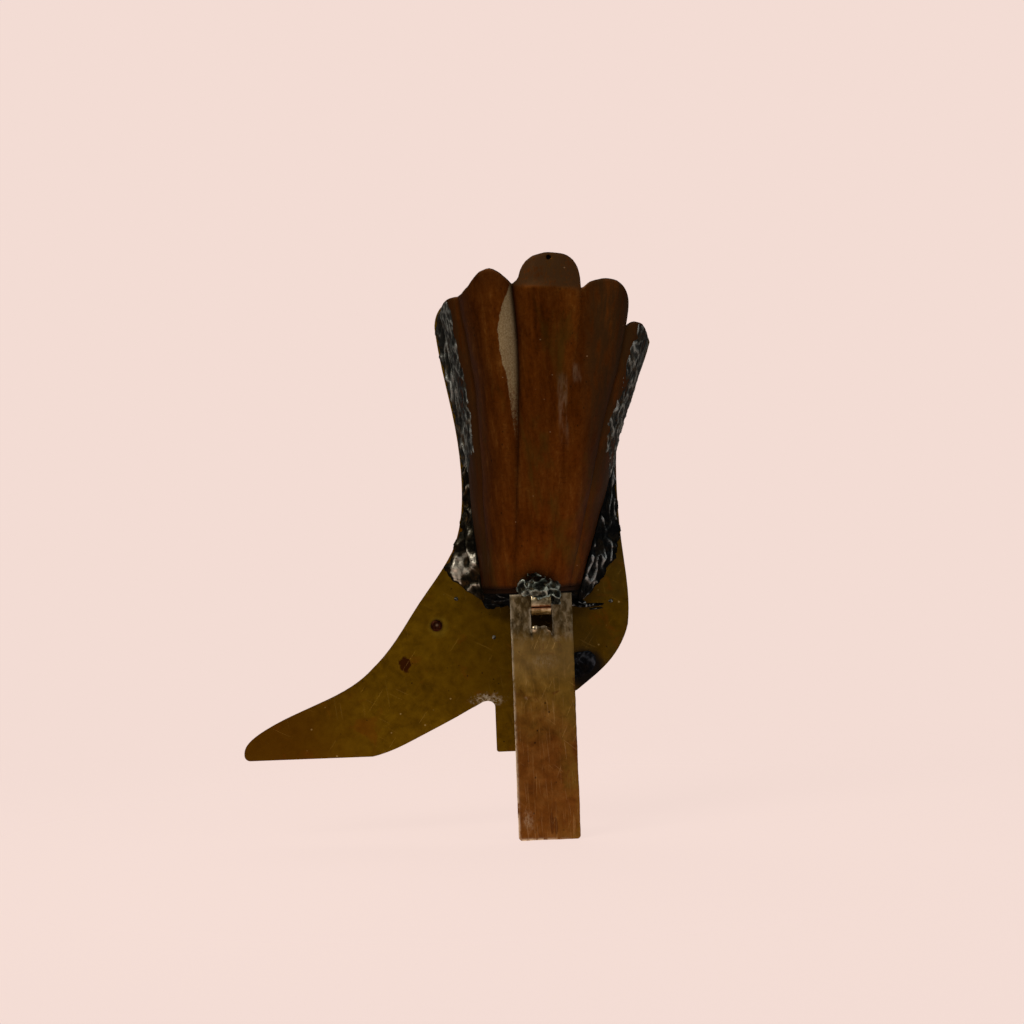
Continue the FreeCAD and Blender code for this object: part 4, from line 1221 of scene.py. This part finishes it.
pocket = make_pocket()
drill_rim_hole(pocket)
place(pocket, "boot", "copper_sheet", "pocket_shell")
place(make_strut(), "strut", "strut_metal", "strut")
toe_lower, toe_upper = make_toe_side_solder(BRIGHT, GREY)
place(toe_lower, "boot", "solder_bright", "solder_toe_side_lower")
place(toe_upper, "boot", "solder_grey", "solder_toe_side_upper")
place(make_heel_side_solder(DARK), "boot", "solder_dark", "solder_heel_side_lower")
heel_skin = make_skin("solder_heel_skin", GREY, (0.0, 33.0, 40.0), 52.0, 14.0)
place(heel_skin, "boot", "solder_grey", "solder_heel_side_upper")
toe_skin = make_skin("solder_toe_skin", GREY, (180.0, 155.5, 150.0), 52.0, 17.0)
place(toe_skin, "boot", "solder_grey")
place(make_floor_seam(DARK), "boot", "solder_dark", "solder_floor_seam")
place(make_hinge_solder(OLIVE), "boot", "solder_hinge", "hinge_solder")
# A near-black solder puddle on the dark patch by the heel.
patch = make_puddles(
    "solder_heel_patch",
    NEAR_BLACK,
    [((12.9, 17.2), (3.1, 2.3), 0.24, 31.0, 0.85, 0.07), ((12.0, 18.7), (1.3, 1.0), 0.2, 32.0, 0.2, 0.15)],
)
place(patch, "boot", "solder_dark", "heel_solder_patch")
drops = make_puddles(
    "solder_specks",
    GREY,
    [
        ((-12.4, 31.4), (0.45, 0.40), 0.26, 41.0),
        ((-5.0, 23.3), (0.40, 0.45), 0.22, 42.0),
        ((19.0, 29.8), (0.45, 0.35), 0.24, 43.0),
    ],
)
place(drops, "boot", "solder_grey", "solder_drops")
run = make_puddles(
    "solder_run",
    DARK,
    [
        ((14.7, 29.1), (3.1, 0.42), 0.28, 44.0, 0.03),
        ((12.3, 29.6), (1.9, 0.9), 0.28, 45.0, -0.2),
        ((15.9, 28.4), (1.5, 0.25), 0.17, 46.0, 0.05),
    ],
)
place(run, "boot", "solder_dark")
coat("boot_plate", brass_plate_look(), 0.16)
coat("ankle_pin", pin_look(), 0.08)
coat("hinge_loop", bright_brass_look(), 0.10)
coat("pocket_floor", copper_look(), 0.10)


# ------------------------------------------------------------------ stage
BACKGROUND = (0.896, 0.716, 0.658)


def make_floor():
    """A plain pale surface under the object that fades into the background."""
    mesh = bpy.data.meshes.new("floor")
    builder = bmesh.new()
    bmesh.ops.create_circle(builder, cap_ends=True, radius=3.0, segments=96)
    builder.to_mesh(mesh)
    builder.free()
    floor = new_object("floor", mesh)
    floor.location = (0, 0, FLOOR_Z * MM)
    look = Look("pale_floor", 0.0, 0.0)
    tree = look.tree
    shader = look.shader
    shader.inputs["Base Color"].default_value = (*(0.14 * c for c in BACKGROUND), 1.0)
    shader.inputs["Emission Strength"].default_value = 0.93
    shader.inputs["Roughness"].default_value = 1.0
    shader.inputs["Emission Color"].default_value = (*BACKGROUND, 1.0)
    fade = look.step(look.vector("DISTANCE", look.place, (0, 0, 0)), 60.0, 230.0)
    clear = tree.nodes.new("ShaderNodeBsdfTransparent")
    mixed = tree.nodes.new("ShaderNodeMixShader")
    look.link(fade, mixed.inputs[0])
    look.link(shader.outputs[0], mixed.inputs[1])
    look.link(clear.outputs[0], mixed.inputs[2])
    look.link(mixed.outputs[0], tree.nodes["Material Output"].inputs["Surface"])
    mesh.materials.append(look.material)


def make_world():
    """The background's own colour for the camera, and a dim neutral room for everything else."""
    world = bpy.data.worlds.new("studio")
    bpy.context.scene.world = world
    world.use_nodes = True
    tree = world.node_tree
    room = tree.nodes["Background"]
    room.inputs["Color"].default_value = (0.95, 0.93, 0.90, 1.0)
    room.inputs["Strength"].default_value = 0.145
    wall = tree.nodes.new("ShaderNodeBackground")
    wall.inputs["Color"].default_value = (*BACKGROUND, 1.0)
    path = tree.nodes.new("ShaderNodeLightPath")
    mixed = tree.nodes.new("ShaderNodeMixShader")
    tree.links.new(path.outputs["Is Camera Ray"], mixed.inputs[0])
    tree.links.new(room.outputs[0], mixed.inputs[1])
    tree.links.new(wall.outputs[0], mixed.inputs[2])
    tree.links.new(mixed.outputs[0], tree.nodes["World Output"].inputs["Surface"])


def add_light(name, place_mm, aim_mm, size_mm, power, colour=(1.0, 1.0, 1.0)):
    """A soft rectangular light that faces a point."""
    data = bpy.data.lights.new(name, "AREA")
    data.shape = "RECTANGLE"
    data.size, data.size_y = (s * MM for s in size_mm)
    data.energy = power
    data.color = colour
    light = new_object(name, data)
    light.location = Vector(place_mm) * MM
    aim = Vector(aim_mm) - Vector(place_mm)
    light.rotation_euler = aim.to_track_quat("-Z", "Y").to_euler()


make_floor()
make_world()
add_light("key", (-260, -330, 330), (0, -10, 50), (260, 260), 1.25, (1.0, 0.97, 0.93))
add_light("fill", (330, -260, 150), (5, -10, 45), (260, 300), 0.36, (0.95, 0.97, 1.0))
add_light("rim", (-60, 260, 300), (0, 0, 50), (300, 200), 0.4)

LENS = 77.84
SENSOR_WIDTH = 36.0
CAMERA_PLACE = (-0.37, -450.6, 48.6)
ROLL = math.radians(2.2)

camera_data = bpy.data.cameras.new("camera")
camera_data.lens = LENS
camera_data.sensor_width = SENSOR_WIDTH
camera = new_object("camera", camera_data)
bpy.context.scene.camera = camera
camera.location = Vector(CAMERA_PLACE) * MM
camera.rotation_euler = Matrix(
    (
        (math.cos(ROLL), math.sin(ROLL), 0),
        (0, 0, -1),
        (-math.sin(ROLL), math.cos(ROLL), 0),
    )
).to_euler()
bpy.context.scene.view_settings.view_transform = "Standard"
